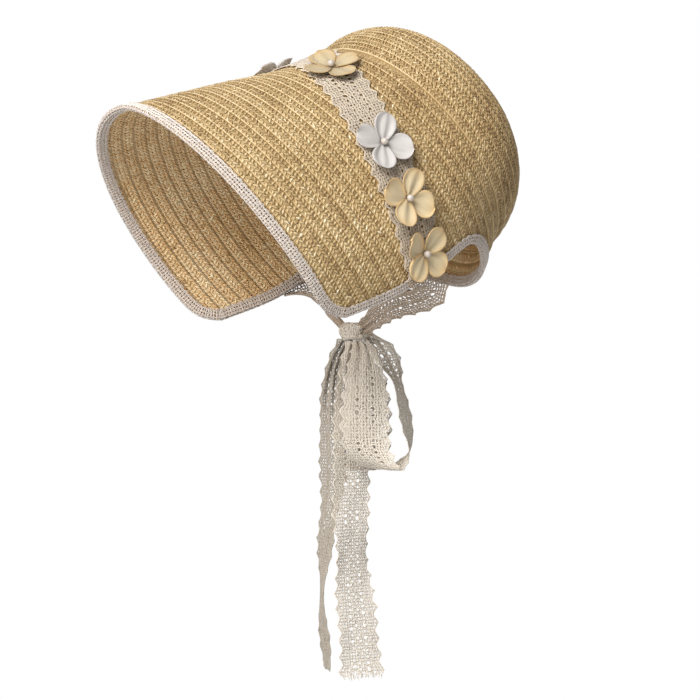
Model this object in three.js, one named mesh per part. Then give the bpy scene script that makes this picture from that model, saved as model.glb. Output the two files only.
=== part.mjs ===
// Poke bonnet: a straw shell of hoops round a tilted crown axis, edged and tied with lace ribbon.
// Millimetres, +Z up, the face opening looks along -Y, +X is the wearer's left.
// The origin is the inside top of the crown, where the bonnet sits on the head.
import * as THREE from 'three';

// Straw shell
const AXIS_TILT = 40; // degrees that the crown axis rises towards the back
const AXIS_ORIGIN = new THREE.Vector3(0, 1, 2.4);
const STRAW_WALL = 2;
const TOP_ROUNDNESS = 2.15; // superellipse powers of a hoop over and under its widest line
const LOW_ROUNDNESS = 1.8;
const LEAD_ANGLE = 19; // degrees under the widest line where the forward lead is full
const HOOPS = [ // along the axis; top and low measured up from it; lead is how far the cheeks run ahead
  { along: -187, top: 77, low: -167, half: 97, lead: 10 },
  { along: -125, top: 48, low: -185, half: 92.5, lead: 6 },
  { along: -75, top: 24, low: -176, half: 88, lead: 2 },
  { along: -42, top: 13, low: -160, half: 84, lead: 0 },
];
const DOME_DEPTH = 60; // from the last hoop to the middle of the tip
const DOME_POWER = 2.5;
const DOME_RISE = 4; // the tip's middle lies this much nearer the top

// Edges of the shell, in degrees from the widest line and millimetres along the axis
const FACE_EDGE = [
  { angle: -26, along: -176 },
  { angle: -24.5, along: -180.5 },
  { angle: -22.5, along: -184 },
  { angle: -19.5, along: -186.3 },
  { angle: -16, along: -187 },
  { angle: 90, along: -187 },
];
const NECK_EDGE = [
  { angle: -90, along: -62 },
  { angle: -78, along: -62.2 },
  { angle: -67, along: -62.8 },
  { angle: -58, along: -63.6 },
  { angle: -50, along: -64.8 },
  { angle: -43, along: -66.6 },
  { angle: -37, along: -69.5 },
  { angle: -33, along: -73.5 },
  { angle: -30.5, along: -79 },
  { angle: -29.3, along: -86 },
  { angle: -28.4, along: -95 },
  { angle: -27.3, along: -106 },
];
const CORNER_ANGLES = FACE_EDGE.slice(0, -1).map(({ angle }) => angle);
const HOOP_STEPS = 17; // columns from the rounded corner to the top of the hoop
const BRIM_ROWS = 7;
const WALL_ROWS = 5;
const DOME_ROWS = 7;
const SEAM_GAP = 0.3;

// Lace ribbon
const BAND_TOP = -62; // where the ribbon crosses the top of the shell, along the axis
const BAND_SLANT = 0.52; // millimetres that it runs forward for each degree down the side
const BAND_BEND = 10; // degrees each side of the top over which it turns
const BAND_END = -24.4;
const RIBBON_HALF = 16;
const RIBBON_WALL = 0.8;
const RIBBON_LIFT = 0.45;
const BAND_COLUMNS = 4;
const SCALLOP_PITCH = 10.4;
const SCALLOP_DEPTH = 2;
const OVER_EDGING = { lift: 1.45, from: -16, to: -20.5 }; // the ribbon rises over the edging

// Folded lace edging
const EDGING_LEG = 6;
const EDGING_WALL = 0.8;
const EDGING_GAP = 0.3;
const EDGING_SPLAY = 0.7; // the inner leg leans away from the curving straw

// Flowers and pearls along the ribbon
const FLOWER_RADIUS = 19.5;
const FLOWER_WALL = 1;
const FLOWER_CUP = 4.5;
const PETAL_VALLEY = 0.5;
const PETAL_FULLNESS = 0.4;
const PETAL_STEPS = 24;
const PETAL_RINGS = 2;
const PEARL_RADIUS = 2.6;
const PEARL_GAP = 0.3;
const FLOWERS = [
  { angle: -17.5, spin: -20, lift: 2.9, tint: 'cream' },
  { angle: 2.5, spin: -30, lift: 1.65, tint: 'cream' },
  { angle: 22, spin: -36, lift: 1.65, tint: 'white' },
  { angle: 64.5, spin: 10, lift: 1.65, tint: 'cream' },
  { angle: 115.5, spin: 25, lift: 1.65, tint: 'white' },
  { angle: 158, spin: 36, lift: 1.65, tint: 'cream' },
  { angle: 177.5, spin: 30, lift: 1.65, tint: 'white' },
  { angle: 197.5, spin: 20, lift: 2.9, tint: 'cream' },
];

// Bow under the chin
const KNOT_CENTRE = new THREE.Vector3(0, -23, -200);
const KNOT_HALF = new THREE.Vector3(11, 7, 6);
const KNOT_SQUARENESS = 4;
// Ribbon runs: centre line, half width, and the width's direction as a turn from +Y to +X and a tip up
const TIE = [
  { x: 73, y: -13, z: -177.2, half: 13.4, turn: 16, tip: -18 },
  { x: 42, y: -20, z: -184.5, half: 9, turn: 20, tip: -55 },
  { x: 11.4, y: -23, z: -198.2, half: 5.2, turn: 16, tip: -68 },
];
const LEFT_LOOP = [
  { x: 7, y: -23, z: -206.2, half: 5, turn: 0, tip: 0 },
  { x: 15, y: -24, z: -213, half: 9, turn: 8, tip: 0 },
  { x: 22, y: -27, z: -232, half: 14.5, turn: 16, tip: 0 },
  { x: 25, y: -29, z: -259, half: 16, turn: 24, tip: 0 },
  { x: 23, y: -25, z: -280, half: 16, turn: 50, tip: 0 },
  { x: 24, y: -10, z: -291, half: 16, turn: 90, tip: 0 },
  { x: 22, y: 6, z: -281, half: 16, turn: 122, tip: 0 },
  { x: 20, y: 5.4, z: -259, half: 16, turn: 133, tip: 0 },
  { x: 18, y: 1, z: -236, half: 14.5, turn: 135, tip: 0 },
  { x: 11, y: -2, z: -221, half: 12, turn: 165, tip: 0 },
  { x: 8, y: -8, z: -209, half: 9, turn: 195, tip: 0 },
  { x: 4, y: -14.8, z: -201.5, half: 4, turn: 262, tip: 0 },
];
const RIGHT_LOOP = [
  { x: -3.4, y: -21, z: -206.4, half: 4, turn: 0, tip: 0 },
  { x: -5, y: -16, z: -216, half: 9, turn: 0, tip: 0 },
  { x: -6, y: -8, z: -235, half: 14, turn: 0, tip: 0 },
  { x: -6, y: -7, z: -262, half: 16, turn: 0, tip: 0 },
  { x: -8, y: -7, z: -284, half: 16, turn: 0, tip: 0 },
  { x: -11.5, y: -7, z: -293, half: 16, turn: 0, tip: 0 },
  { x: -15, y: -7, z: -285, half: 16, turn: 0, tip: 0 },
  { x: -17, y: -7, z: -262, half: 16, turn: 0, tip: 0 },
  { x: -15, y: -7, z: -235, half: 13.5, turn: 0, tip: 0 },
  { x: -10, y: -15, z: -216, half: 8, turn: 0, tip: 0 },
  { x: -6.8, y: -21, z: -206.1, half: 4, turn: 0, tip: 0 },
];
const LEFT_TAIL = [
  { x: 0.2, y: -23, z: -206.4, half: 5, turn: 0, tip: 0 },
  { x: 0.5, y: -24, z: -216, half: 8, turn: 0, tip: 0 },
  { x: 1, y: -24.5, z: -240, half: 13, turn: 0, tip: 0 },
  { x: 1, y: -25, z: -292, half: 16, turn: -8, tip: 0 },
  { x: 2, y: -26, z: -340, half: 16, turn: -18, tip: 0 },
  { x: 5, y: -24, z: -385, half: 16, turn: -8, tip: 0 },
  { x: 8, y: -21, z: -426, half: 16, turn: 2, tip: 0 },
];
const RIGHT_TAIL = [
  { x: -9.6, y: -24, z: -205.3, half: 4.5, turn: 0, tip: 0 },
  { x: -12.5, y: -29, z: -218, half: 5.5, turn: 15, tip: 0 },
  { x: -16, y: -31, z: -240, half: 7, turn: 35, tip: 0 },
  { x: -16.5, y: -31, z: -262, half: 8.5, turn: 58, tip: 0 },
  { x: -16.5, y: -29.5, z: -292, half: 11.5, turn: 75, tip: 0 },
  { x: -17, y: -34.5, z: -337, half: 14.5, turn: 100, tip: 0 },
  { x: -16.5, y: -38, z: -367, half: 16, turn: 112, tip: 0 },
  { x: -15, y: -35.5, z: -421, half: 16, turn: 110, tip: 0 },
];

const MATERIALS = {
  straw: new THREE.MeshStandardMaterial({ color: '#c9a56a', roughness: 0.6, metalness: 0 }),
  edging: new THREE.MeshStandardMaterial({ color: '#d9cfc4', roughness: 0.85, metalness: 0 }),
  lace: new THREE.MeshStandardMaterial({ color: '#d8ccb8', roughness: 0.9, metalness: 0 }),
  cream: new THREE.MeshStandardMaterial({ color: '#e6d3a2', roughness: 0.7, metalness: 0 }),
  white: new THREE.MeshStandardMaterial({ color: '#e4e1de', roughness: 0.7, metalness: 0 }),
  pearl: new THREE.MeshStandardMaterial({ color: '#efe6da', roughness: 0.25, metalness: 0 }),
};

const { degToRad, clamp, lerp } = THREE.MathUtils;
const RIGHTWARD = new THREE.Vector3(1, 0, 0);
const AXIS = new THREE.Vector3(0, Math.cos(degToRad(AXIS_TILT)), Math.sin(degToRad(AXIS_TILT)));
const RISE = new THREE.Vector3(0, -AXIS.z, AXIS.y);
const DOME_START = HOOPS[HOOPS.length - 1].along;

// A table's column at a place between its rows, smooth and without overshoot
function column(table, place, key, at) {
  const rows = table.length;
  const step = (i) => table[i + 1][place] - table[i][place];
  const slope = (i) => (table[i + 1][key] - table[i][key]) / step(i);
  const knotSlope = (i) => {
    if (i === 0) return slope(0);
    if (i === rows - 1) return slope(rows - 2);
    const before = slope(i - 1);
    const after = slope(i);
    return before * after <= 0 ? 0 : (2 * before * after) / (before + after);
  };
  let i = 0;
  while (i < rows - 2 && at > table[i + 1][place]) i += 1;
  const width = step(i);
  const t = (at - table[i][place]) / width;
  const rest = 1 - t;
  return rest * rest * (1 + 2 * t) * table[i][key] + t * t * (3 - 2 * t) * table[i + 1][key]
    + t * rest * width * (rest * knotSlope(i) - t * knotSlope(i + 1));
}

const signedPower = (value, power) => Math.sign(value) * Math.abs(value) ** power;

// A hoop of the shell: run is millimetres before the dome, or degrees round it once positive
function hoopAt(run) {
  const along = DOME_START + Math.min(run, 0);
  const turn = degToRad(clamp(run, 0, 90));
  const deep = Math.sin(turn) ** (2 / DOME_POWER);
  const shrink = run >= 90 ? 0 : Math.cos(turn) ** (2 / DOME_POWER);
  const top = column(HOOPS, 'along', 'top', along);
  const low = column(HOOPS, 'along', 'low', along);
  return {
    along: along + DOME_DEPTH * deep,
    middle: (top + low) / 2 + DOME_RISE * deep,
    reach: ((top - low) / 2) * shrink,
    half: column(HOOPS, 'along', 'half', along) * shrink,
    lead: column(HOOPS, 'along', 'lead', along),
  };
}

function shellPoint(run, angle) {
  const hoop = hoopAt(run);
  const sine = Math.sin(degToRad(angle));
  const power = 2 / (sine < 0 ? LOW_ROUNDNESS : TOP_ROUNDNESS);
  const height = hoop.middle + hoop.reach * signedPower(sine, power);
  const climb = clamp((Math.min(angle, 180 - angle) + LEAD_ANGLE) / (90 + LEAD_ANGLE), 0, 1);
  return AXIS_ORIGIN.clone()
    .addScaledVector(RIGHTWARD, hoop.half * signedPower(Math.cos(degToRad(angle)), power))
    .addScaledVector(AXIS, hoop.along - hoop.lead * (1 - climb * climb))
    .addScaledVector(RISE, height);
}

// Point, outward normal and the two surface directions at a place on the shell
function shellFrame(run, angle, lift = 0) {
  const back = shellPoint(run + 0.5, angle).sub(shellPoint(run - 0.5, angle));
  const round = shellPoint(run, angle + 0.5).sub(shellPoint(run, angle - 0.5));
  const normal = run >= 89.9 ? AXIS.clone() : round.clone().cross(back).negate().normalize();
  const point = shellPoint(run, angle).addScaledVector(normal, lift);
  return { point, normal, back, round };
}

const runOf = (along) => along - DOME_START;
const sideAngle = (angle) => Math.min(angle, 180 - angle);
const faceAlong = (angle) => column(FACE_EDGE, 'angle', 'along', sideAngle(angle));
const bandAlong = (angle) => BAND_TOP - BAND_SLANT * (Math.hypot(90 - angle, BAND_BEND) - BAND_BEND);

// Columns of the brim and of the crown's front, from the left cheek over the top to the right cheek
function hoopAngles() {
  const first = CORNER_ANGLES[CORNER_ANGLES.length - 1];
  const left = CORNER_ANGLES.slice(0, -1);
  for (let i = 0; i <= HOOP_STEPS; i += 1) left.push(lerp(first, 90, i / HOOP_STEPS));
  return [...left, ...left.slice(0, -1).reverse().map((angle) => 180 - angle)];
}

// One closed body from facets given as points; shared points are joined and the faces turned outwards
class Body {
  constructor() {
    this.keys = new Map();
    this.points = [];
    this.facets = [];
  }

  vertex(point) {
    const key = point.toArray().map((value) => Math.round(value * 1000)).join(' ');
    if (!this.keys.has(key)) {
      this.keys.set(key, this.points.length);
      this.points.push(point);
    }
    return this.keys.get(key);
  }

  triangle(a, b, c) {
    const facet = [a, b, c].map((point) => this.vertex(point));
    if (new Set(facet).size === 3) this.facets.push(facet);
  }

  quad(a, b, c, d) {
    this.triangle(a, b, c);
    this.triangle(a, c, d);
  }

  geometry() {
    const volume = this.facets.reduce((sum, [a, b, c]) => {
      const normal = this.points[b].clone().cross(this.points[c]);
      return sum + this.points[a].dot(normal);
    }, 0);
    const facets = volume < 0 ? this.facets.map(([a, b, c]) => [a, c, b]) : this.facets;
    const geometry = new THREE.BufferGeometry();
    geometry.setAttribute('position', new THREE.Float32BufferAttribute(
      this.points.flatMap((point) => point.toArray()), 3));
    geometry.setIndex(facets.flat());
    geometry.computeVertexNormals();
    return geometry;
  }
}

// A wall between two like grids of points, closed round its edges; a ring joins its last column to its first
function wallSolid(outer, inner, ring = false) {
  const body = new Body();
  const rows = outer.length;
  const columns = outer[0].length;
  const next = (j) => (j + 1) % columns;
  const spans = ring ? columns : columns - 1;
  for (let i = 0; i < rows - 1; i += 1) {
    for (let j = 0; j < spans; j += 1) {
      body.quad(outer[i][j], outer[i][next(j)], outer[i + 1][next(j)], outer[i + 1][j]);
      body.quad(inner[i][j], inner[i + 1][j], inner[i + 1][next(j)], inner[i][next(j)]);
    }
    if (!ring) {
      const last = columns - 1;
      body.quad(outer[i][0], outer[i + 1][0], inner[i + 1][0], inner[i][0]);
      body.quad(outer[i][last], inner[i][last], inner[i + 1][last], outer[i + 1][last]);
    }
  }
  for (let j = 0; j < spans; j += 1) {
    const end = rows - 1;
    body.quad(outer[0][j], inner[0][j], inner[0][next(j)], outer[0][next(j)]);
    const isPoint = outer[end][j].distanceTo(outer[end][next(j)]) < 1e-6;
    if (!isPoint) body.quad(outer[end][j], outer[end][next(j)], inner[end][next(j)], inner[end][j]);
  }
  return body.geometry();
}

// A profile carried along stations that each give a point, an edge direction and a normal
function sweptSolid(stations, profile) {
  const body = new Body();
  const sections = stations.map(({ point, edge, normal }) => profile.map(
    ([out, up]) => point.clone().addScaledVector(edge, out).addScaledVector(normal, up)));
  for (let i = 0; i < sections.length - 1; i += 1) {
    profile.forEach((_, j) => {
      const k = (j + 1) % profile.length;
      body.quad(sections[i][j], sections[i + 1][j], sections[i + 1][k], sections[i][k]);
    });
  }
  const flat = profile.map(([out, up]) => new THREE.Vector2(out, up));
  const caps = THREE.ShapeUtils.triangulateShape(flat, []);
  const [first, last] = [sections[0], sections[sections.length - 1]];
  for (const [a, b, c] of caps) {
    body.triangle(first[a], first[b], first[c]);
    body.triangle(last[a], last[c], last[b]);
  }
  return body.geometry();
}

const bonnet = new THREE.Group();

function addPiece(name, geometry, material) {
  const mesh = new THREE.Mesh(geometry, MATERIALS[material]);
  mesh.name = name;
  bonnet.add(mesh);
}

function strawWall(frames, ring) {
  const outer = frames.map((row) => row.map((frame) => frame.point));
  const inner = frames.map((row) => row.map(
    (frame) => frame.point.clone().addScaledVector(frame.normal, -STRAW_WALL)));
  return wallSolid(outer, inner, ring);
}

function brimFrames() {
  const rows = [];
  for (let i = 0; i <= BRIM_ROWS; i += 1) {
    rows.push(hoopAngles().map((angle) => {
      const along = lerp(faceAlong(angle), bandAlong(angle) - SEAM_GAP / 2, i / BRIM_ROWS);
      return shellFrame(runOf(along), angle);
    }));
  }
  return rows;
}

// The crown's lower edge: the nape, the cheek edges and the line under the ribbon
function crownEdge() {
  const left = NECK_EDGE.map(({ angle, along }) => ({ angle, along }));
  const front = hoopAngles().map((angle) => ({ angle, along: bandAlong(angle) + SEAM_GAP / 2 }));
  const right = left.slice(1).reverse().map(({ angle, along }) => ({ angle: 180 - angle, along }));
  return [...left, ...front, ...right];
}

function crownFrames() {
  const rows = [];
  const edge = crownEdge();
  for (let i = 0; i < WALL_ROWS; i += 1) {
    rows.push(edge.map(({ angle, along }) => shellFrame(lerp(runOf(along), 0, i / WALL_ROWS), angle)));
  }
  for (let i = 0; i <= DOME_ROWS; i += 1) {
    rows.push(edge.map(({ angle }) => shellFrame((90 * i) / DOME_ROWS, angle)));
  }
  return rows;
}

// Stations of an edging: the edge direction points away from the straw, across the run of the edge
function edgingStations(frames) {
  return frames.map(({ point, normal }, i) => {
    const before = frames[Math.max(i - 1, 0)].point;
    const after = frames[Math.min(i + 1, frames.length - 1)].point;
    const edge = normal.clone().cross(after.clone().sub(before)).normalize();
    return { point, normal, edge };
  });
}

function edgingSolid(frames) {
  const near = EDGING_GAP;
  const far = EDGING_GAP + EDGING_WALL;
  const inside = -STRAW_WALL - near;
  const inmost = -STRAW_WALL - far;
  const profile = [
    [-EDGING_LEG, near], [near, near], [near, inside], [-EDGING_LEG, inside - EDGING_SPLAY],
    [-EDGING_LEG, inmost - EDGING_SPLAY], [far, inmost], [far, far], [-EDGING_LEG, far],
  ];
  return sweptSolid(edgingStations(frames), profile);
}

const mirrored = ({ point, normal }) => ({
  point: point.clone().setX(-point.x),
  normal: normal.clone().setX(-normal.x),
});

// Halfway between two frames of an edge, moved on along it by half the gap that two edgings keep
function halfway(from, to, shift) {
  const step = to.point.clone().sub(from.point);
  const point = from.point.clone().lerp(to.point, 0.5).addScaledVector(step.normalize(), shift);
  return { point, normal: from.normal.clone().add(to.normal).normalize() };
}

function edgings(brim, crown) {
  const face = brim[0];
  const cheek = brim.map((row) => row[0]);
  const neck = crown[0].slice(1, NECK_EDGE.length);
  const half = SEAM_GAP / 2;
  const front = [...face.slice(1, -1)];
  const leftSplit = halfway(cheek[0], face[1], half);
  front.unshift(leftSplit);
  front.push(mirrored(leftSplit));
  addPiece('front_binding', edgingSolid(front), 'edging');
  const left = [...neck, ...cheek.slice(0, -1).reverse(), halfway(cheek[0], face[1], -half)];
  const right = left.slice().reverse().map(mirrored);
  addPiece('neck_binding', edgingSolid([...right, crown[0][0], ...left]), 'edging');
}

// Places on the ribbon over the shell: across runs from -1 at its front edge to 1 at its back edge,
// square to the ribbon's own line
function bandFrame(angle, across, lift) {
  const run = runOf(bandAlong(angle));
  const { normal, back, round } = shellFrame(run, angle);
  const slant = bandAlong(angle + 0.5) - bandAlong(angle - 0.5);
  const side = round.clone().addScaledVector(back, slant).cross(normal).setLength(across * RIBBON_HALF);
  const [sideBack, sideRound, skew] = [side.dot(back), side.dot(round), back.dot(round)];
  const scale = back.lengthSq() * round.lengthSq() - skew * skew;
  const backward = (sideBack * round.lengthSq() - sideRound * skew) / scale;
  const turn = (sideRound * back.lengthSq() - sideBack * skew) / scale;
  return shellFrame(run + backward, angle + turn, lift);
}

const edgeRise = (angle) => OVER_EDGING.lift
  * THREE.MathUtils.smoothstep(-sideAngle(angle), -OVER_EDGING.from, -OVER_EDGING.to);

function bandSolid() {
  const lengthPerDegree = shellFrame(runOf(bandAlong(45)), 45).round.length();
  const steps = 2 * Math.round(((180 - 2 * BAND_END) * lengthPerDegree) / SCALLOP_PITCH);
  const outer = [];
  const inner = [];
  for (let i = 0; i <= steps; i += 1) {
    const angle = lerp(BAND_END, 180 - BAND_END, i / steps);
    const scallop = 1 + ((i % 2 ? 0.5 : -0.5) * SCALLOP_DEPTH) / RIBBON_HALF;
    const lift = RIBBON_LIFT + edgeRise(angle);
    const places = [];
    for (let j = 0; j <= BAND_COLUMNS; j += 1) places.push(scallop * lerp(-1, 1, j / BAND_COLUMNS));
    outer.push(places.map((across) => bandFrame(angle, across, lift + RIBBON_WALL).point));
    inner.push(places.map((across) => bandFrame(angle, across, lift).point));
  }
  return wallSolid(outer, inner);
}

// Stations along a table of ribbon places, two to each scallop
function ribbonStations(table) {
  const curve = new THREE.CatmullRomCurve3(table.map(({ x, y, z }) => new THREE.Vector3(x, y, z)));
  const rows = table.map((row, place) => ({ ...row, place }));
  const steps = 2 * Math.round(curve.getLength() / SCALLOP_PITCH);
  const stations = [];
  for (let i = 0; i <= steps; i += 1) {
    const place = curve.getUtoTmapping(i / steps) * (rows.length - 1);
    const turn = degToRad(column(rows, 'place', 'turn', place));
    const tip = degToRad(column(rows, 'place', 'tip', place));
    const half = column(rows, 'place', 'half', place);
    const scallop = 1 + ((i % 2 ? 0.5 : -0.5) * SCALLOP_DEPTH) / RIBBON_HALF;
    stations.push({
      point: curve.getPointAt(i / steps),
      along: curve.getTangentAt(i / steps),
      across: new THREE.Vector3(
        Math.cos(tip) * Math.sin(turn), Math.cos(tip) * Math.cos(turn), Math.sin(tip)),
      half: half * scallop,
    });
  }
  return stations;
}

function ribbonSolid(table, side = 1) {
  const corners = (lift) => ribbonStations(table).map(({ point, along, across, half }) => {
    const normal = along.clone().cross(across).normalize();
    return [-half, half].map((reach) => {
      const corner = point.clone().addScaledVector(across, reach).addScaledVector(normal, lift);
      return corner.setX(side * corner.x);
    });
  });
  return wallSolid(corners(RIBBON_WALL / 2), corners(-RIBBON_WALL / 2));
}

// The tie leaves the shell where the ribbon over it ends, and runs in under the chin
function tieTable() {
  const lift = RIBBON_LIFT + OVER_EDGING.lift + RIBBON_WALL / 2;
  const end = bandFrame(BAND_END, 0, lift);
  const above = bandFrame(BAND_END + 1, 0, lift);
  const onward = end.point.clone().sub(above.point).normalize();
  const width = bandFrame(BAND_END, 1, lift).point.sub(bandFrame(BAND_END, -1, lift).point).normalize();
  const turn = THREE.MathUtils.radToDeg(Math.atan2(width.x, width.y));
  const tip = THREE.MathUtils.radToDeg(Math.asin(width.z));
  const row = (distance, out) => {
    const place = end.point.clone().addScaledVector(onward, distance);
    const { x, y, z } = place.addScaledVector(end.normal, out);
    return { x, y, z, half: RIBBON_HALF, turn, tip };
  };
  return [row(SEAM_GAP, 0.1), row(5, 0.8), ...TIE];
}

function flowerSolid({ angle, spin, lift }) {
  const { point, normal, round } = bandFrame(angle, 0, lift);
  const up = round.clone().normalize();
  const side = up.clone().cross(normal).normalize();
  const skin = (height) => {
    const rows = [];
    for (let i = 0; i <= PETAL_RINGS; i += 1) {
      const share = 1 - i / PETAL_RINGS;
      rows.push(Array.from({ length: PETAL_STEPS }, (_, j) => {
        const around = (2 * Math.PI * j) / PETAL_STEPS;
        const lobe = Math.abs(Math.cos(2 * around)) ** PETAL_FULLNESS;
        const radius = share * FLOWER_RADIUS * (PETAL_VALLEY + (1 - PETAL_VALLEY) * lobe);
        const bearing = around + degToRad(spin);
        const cup = FLOWER_CUP * (radius / FLOWER_RADIUS) ** 2;
        return point.clone()
          .addScaledVector(up, radius * Math.cos(bearing))
          .addScaledVector(side, radius * Math.sin(bearing))
          .addScaledVector(normal, height + cup);
      }));
    }
    return rows;
  };
  return wallSolid(skin(FLOWER_WALL), skin(0), true);
}

function pearlSolid({ angle, lift }) {
  const { point } = bandFrame(angle, 0, lift + FLOWER_WALL + PEARL_GAP + PEARL_RADIUS);
  return new THREE.SphereGeometry(PEARL_RADIUS, 10, 6).translate(point.x, point.y, point.z);
}

// The knot is a squared ball of gathered ribbon
function knotSolid() {
  const geometry = new THREE.SphereGeometry(1, 14, 8);
  const places = geometry.getAttribute('position');
  for (let i = 0; i < places.count; i += 1) {
    const way = new THREE.Vector3().fromBufferAttribute(places, i);
    const sum = way.toArray().reduce((total, value) => total + Math.abs(value) ** KNOT_SQUARENESS, 0);
    way.multiplyScalar(sum ** (-1 / KNOT_SQUARENESS)).multiply(KNOT_HALF).add(KNOT_CENTRE);
    places.setXYZ(i, way.x, way.y, way.z);
  }
  geometry.computeVertexNormals();
  return geometry;
}

const brim = brimFrames();
const crown = crownFrames();
addPiece('brim', strawWall(brim, false), 'straw');
addPiece('crown', strawWall(crown, true), 'straw');
edgings(brim, crown);
addPiece('lace_band', bandSolid(), 'lace');
FLOWERS.forEach((flower, i) => {
  addPiece(`flower_${i + 1}`, flowerSolid(flower), flower.tint);
  addPiece(`pearl_${i + 1}`, pearlSolid(flower), 'pearl');
});
addPiece('tie_left', ribbonSolid(tieTable()), 'lace');
addPiece('tie_right', ribbonSolid(tieTable(), -1), 'lace');
addPiece('bow_knot', knotSolid(), 'lace');
addPiece('bow_loop_left', ribbonSolid(LEFT_LOOP), 'lace');
addPiece('bow_loop_right', ribbonSolid(RIGHT_LOOP), 'lace');
addPiece('bow_tail_left', ribbonSolid(LEFT_TAIL), 'lace');
addPiece('bow_tail_right', ribbonSolid(RIGHT_TAIL), 'lace');

export default bonnet;
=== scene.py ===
"""Straw poke bonnet: plaited shell, lace edging and ribbon, cloth flowers, pearls and a bow."""
import math

import bmesh
import bpy
import numpy as np
from bpy.props import FloatProperty, FloatVectorProperty, IntProperty, PointerProperty
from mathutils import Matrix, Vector


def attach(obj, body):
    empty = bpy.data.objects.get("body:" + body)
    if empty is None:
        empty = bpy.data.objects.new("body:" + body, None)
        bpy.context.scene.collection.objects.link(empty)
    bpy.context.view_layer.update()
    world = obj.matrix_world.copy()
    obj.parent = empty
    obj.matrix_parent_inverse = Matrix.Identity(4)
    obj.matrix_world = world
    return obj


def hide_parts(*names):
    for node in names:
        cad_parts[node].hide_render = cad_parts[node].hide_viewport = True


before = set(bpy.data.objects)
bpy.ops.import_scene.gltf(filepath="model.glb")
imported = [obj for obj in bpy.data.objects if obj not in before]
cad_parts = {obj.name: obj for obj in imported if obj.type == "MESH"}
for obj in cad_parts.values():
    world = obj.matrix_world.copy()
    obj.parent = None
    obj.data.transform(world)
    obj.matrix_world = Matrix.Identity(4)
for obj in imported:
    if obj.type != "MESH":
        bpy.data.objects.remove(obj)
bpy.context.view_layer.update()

bl_info = {
    "name": "Straw Poke Bonnet",
    "version": (1, 0, 0),
    "blender": (4, 5, 0),
    "location": "View3D > Sidebar > Bonnet",
    "description": "Dresses the bonnet's solids with plaited straw, lace, flowers, pearls and a bow",
    "category": "Object",
}

MM = 0.001


def table(columns, *rows):
    """A table's rows, each with its columns' names."""
    return [dict(zip(columns.split(), row)) for row in rows]


# Straw shell, in millimetres and degrees
AXIS_TILT = 40
AXIS_ORIGIN = np.array([0, 1, 2.4])
TOP_ROUNDNESS = 2.15
LOW_ROUNDNESS = 1.8
LEAD_ANGLE = 19
HOOPS = table(
    "along top low half lead",
    (-187, 77, -167, 97, 10),
    (-125, 48, -185, 92.5, 6),
    (-75, 24, -176, 88, 2),
    (-42, 13, -160, 84, 0),
)
DOME_DEPTH = 60
DOME_POWER = 2.5
DOME_RISE = 4
POLE_RUN = 89.5
FACE_EDGE = table(
    "angle along",
    (-26, -176), (-24.5, -180.5), (-22.5, -184), (-19.5, -186.3), (-16, -187), (90, -187),
)
FACE_CORNER = -16
NECK_EDGE = table(
    "angle along",
    (-90, -62), (-78, -62.2), (-67, -62.8), (-58, -63.6), (-50, -64.8), (-43, -66.6), (-37, -69.5),
    (-33, -73.5), (-30.5, -79), (-29.3, -86), (-28.4, -95), (-27.3, -106), (-26, -117.2),
)
NAPE_CORNER = -33
CHEEK_ANGLE = -26
CORNER_SPLIT = -25.2
SEAM_GAP = 0.3
BRIM_STEPS = 93
CROWN_STEPS = 121
NEAR_NECK = -34
NECK_STEPS = 17
DOME_STEPS = 361
DOME_MERIDIAN = 30.0

# Plait rows: across a row, 0 is its front edge and 1 its back edge, which the next row covers
ROW_FRONT = -0.4
ROW_BACK = -1.05
ROW_WALL = 0.8
ROW_COVER = 1.08
ROW_LEAST = 0.25
# A row's front lip gets a painted glint, palest where the row runs over the top and dimmer down the sides
LIP_PAINTED_GLINT = 0.96
LIP_SIDE_PAINTED_GLINT = 0.5
LIP_GLINT_SPREAD = 42

# Each point of a row's section: its place across the row, its rise on the outer face, and its tint
ROW_OUTER = ((0.0, -0.25, 0.4), (0.02, 0.1, LIP_PAINTED_GLINT), (0.07, 0.14, LIP_PAINTED_GLINT), (0.11, 0.0, 0.45),
             (0.5, 0.0, 0.4), (ROW_COVER, 0.0, 0.3))
ROW_INNER = ((ROW_COVER, 0.8), (0.5, 0.7), (0.0, 0.7))
INNER_RISE = ((0, 0.5, ROW_COVER), (-0.17, 0, 0.2))

# Splints: lanes across a row with the side that each leans to, and how much one differs from the next
PLAIT_LANES = ((0.22, 1), (0.53, -1), (0.84, 1))
WIDE_LANES = ((0.27, 1), (0.75, -1))
SPLINT_TAPER = 0.72
SPLINT_TIP = 0.35
SECTION_WIDE = -0.577
SECTION_HIGH = 0.667
SPLINT_MARGIN = 1.0
SPLINT_REACH = 0.2
LEAST_SPLINTS = 5
PLACE_SPREAD = 0.16
SLANT_SPREAD = 0.2
TIP_LEAN = 0.07
SIZE_SPREAD = 0.1
TINT_SPREAD = 0.1
RUN_STEP = 14
RUN_SPREAD = 0.09
PALE_SHARE, PALE_GAIN = 0.06, 0.3
DARK_SHARE, DARK_LOSS = 0.08, 0.22
TINT_LEAST = 0.05
PLAIN_TINT = 0.48
STRAW_DIM = (0.38, 0.24, 0.1)
STRAW_PALE = (0.72, 0.55, 0.31)
# Inner faces' colours are warmed: painted bounce light from the straw round them
PAINTED_BOUNCE_WARMTH = (1.16, 1.02, 0.92)
# A face's tint: the inner faces' raised tint paints light on the inside, and the crown's lowered outer
# tint paints shade on it
STRAW_FACES = table(
    "part inner lanes tint",
    ("brim", False, PLAIT_LANES, PLAIN_TINT),
    ("brim", True, PLAIT_LANES, 0.74),
    ("crown", False, PLAIT_LANES, 0.39),
    ("crown", True, WIDE_LANES, 0.74),
)

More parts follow.
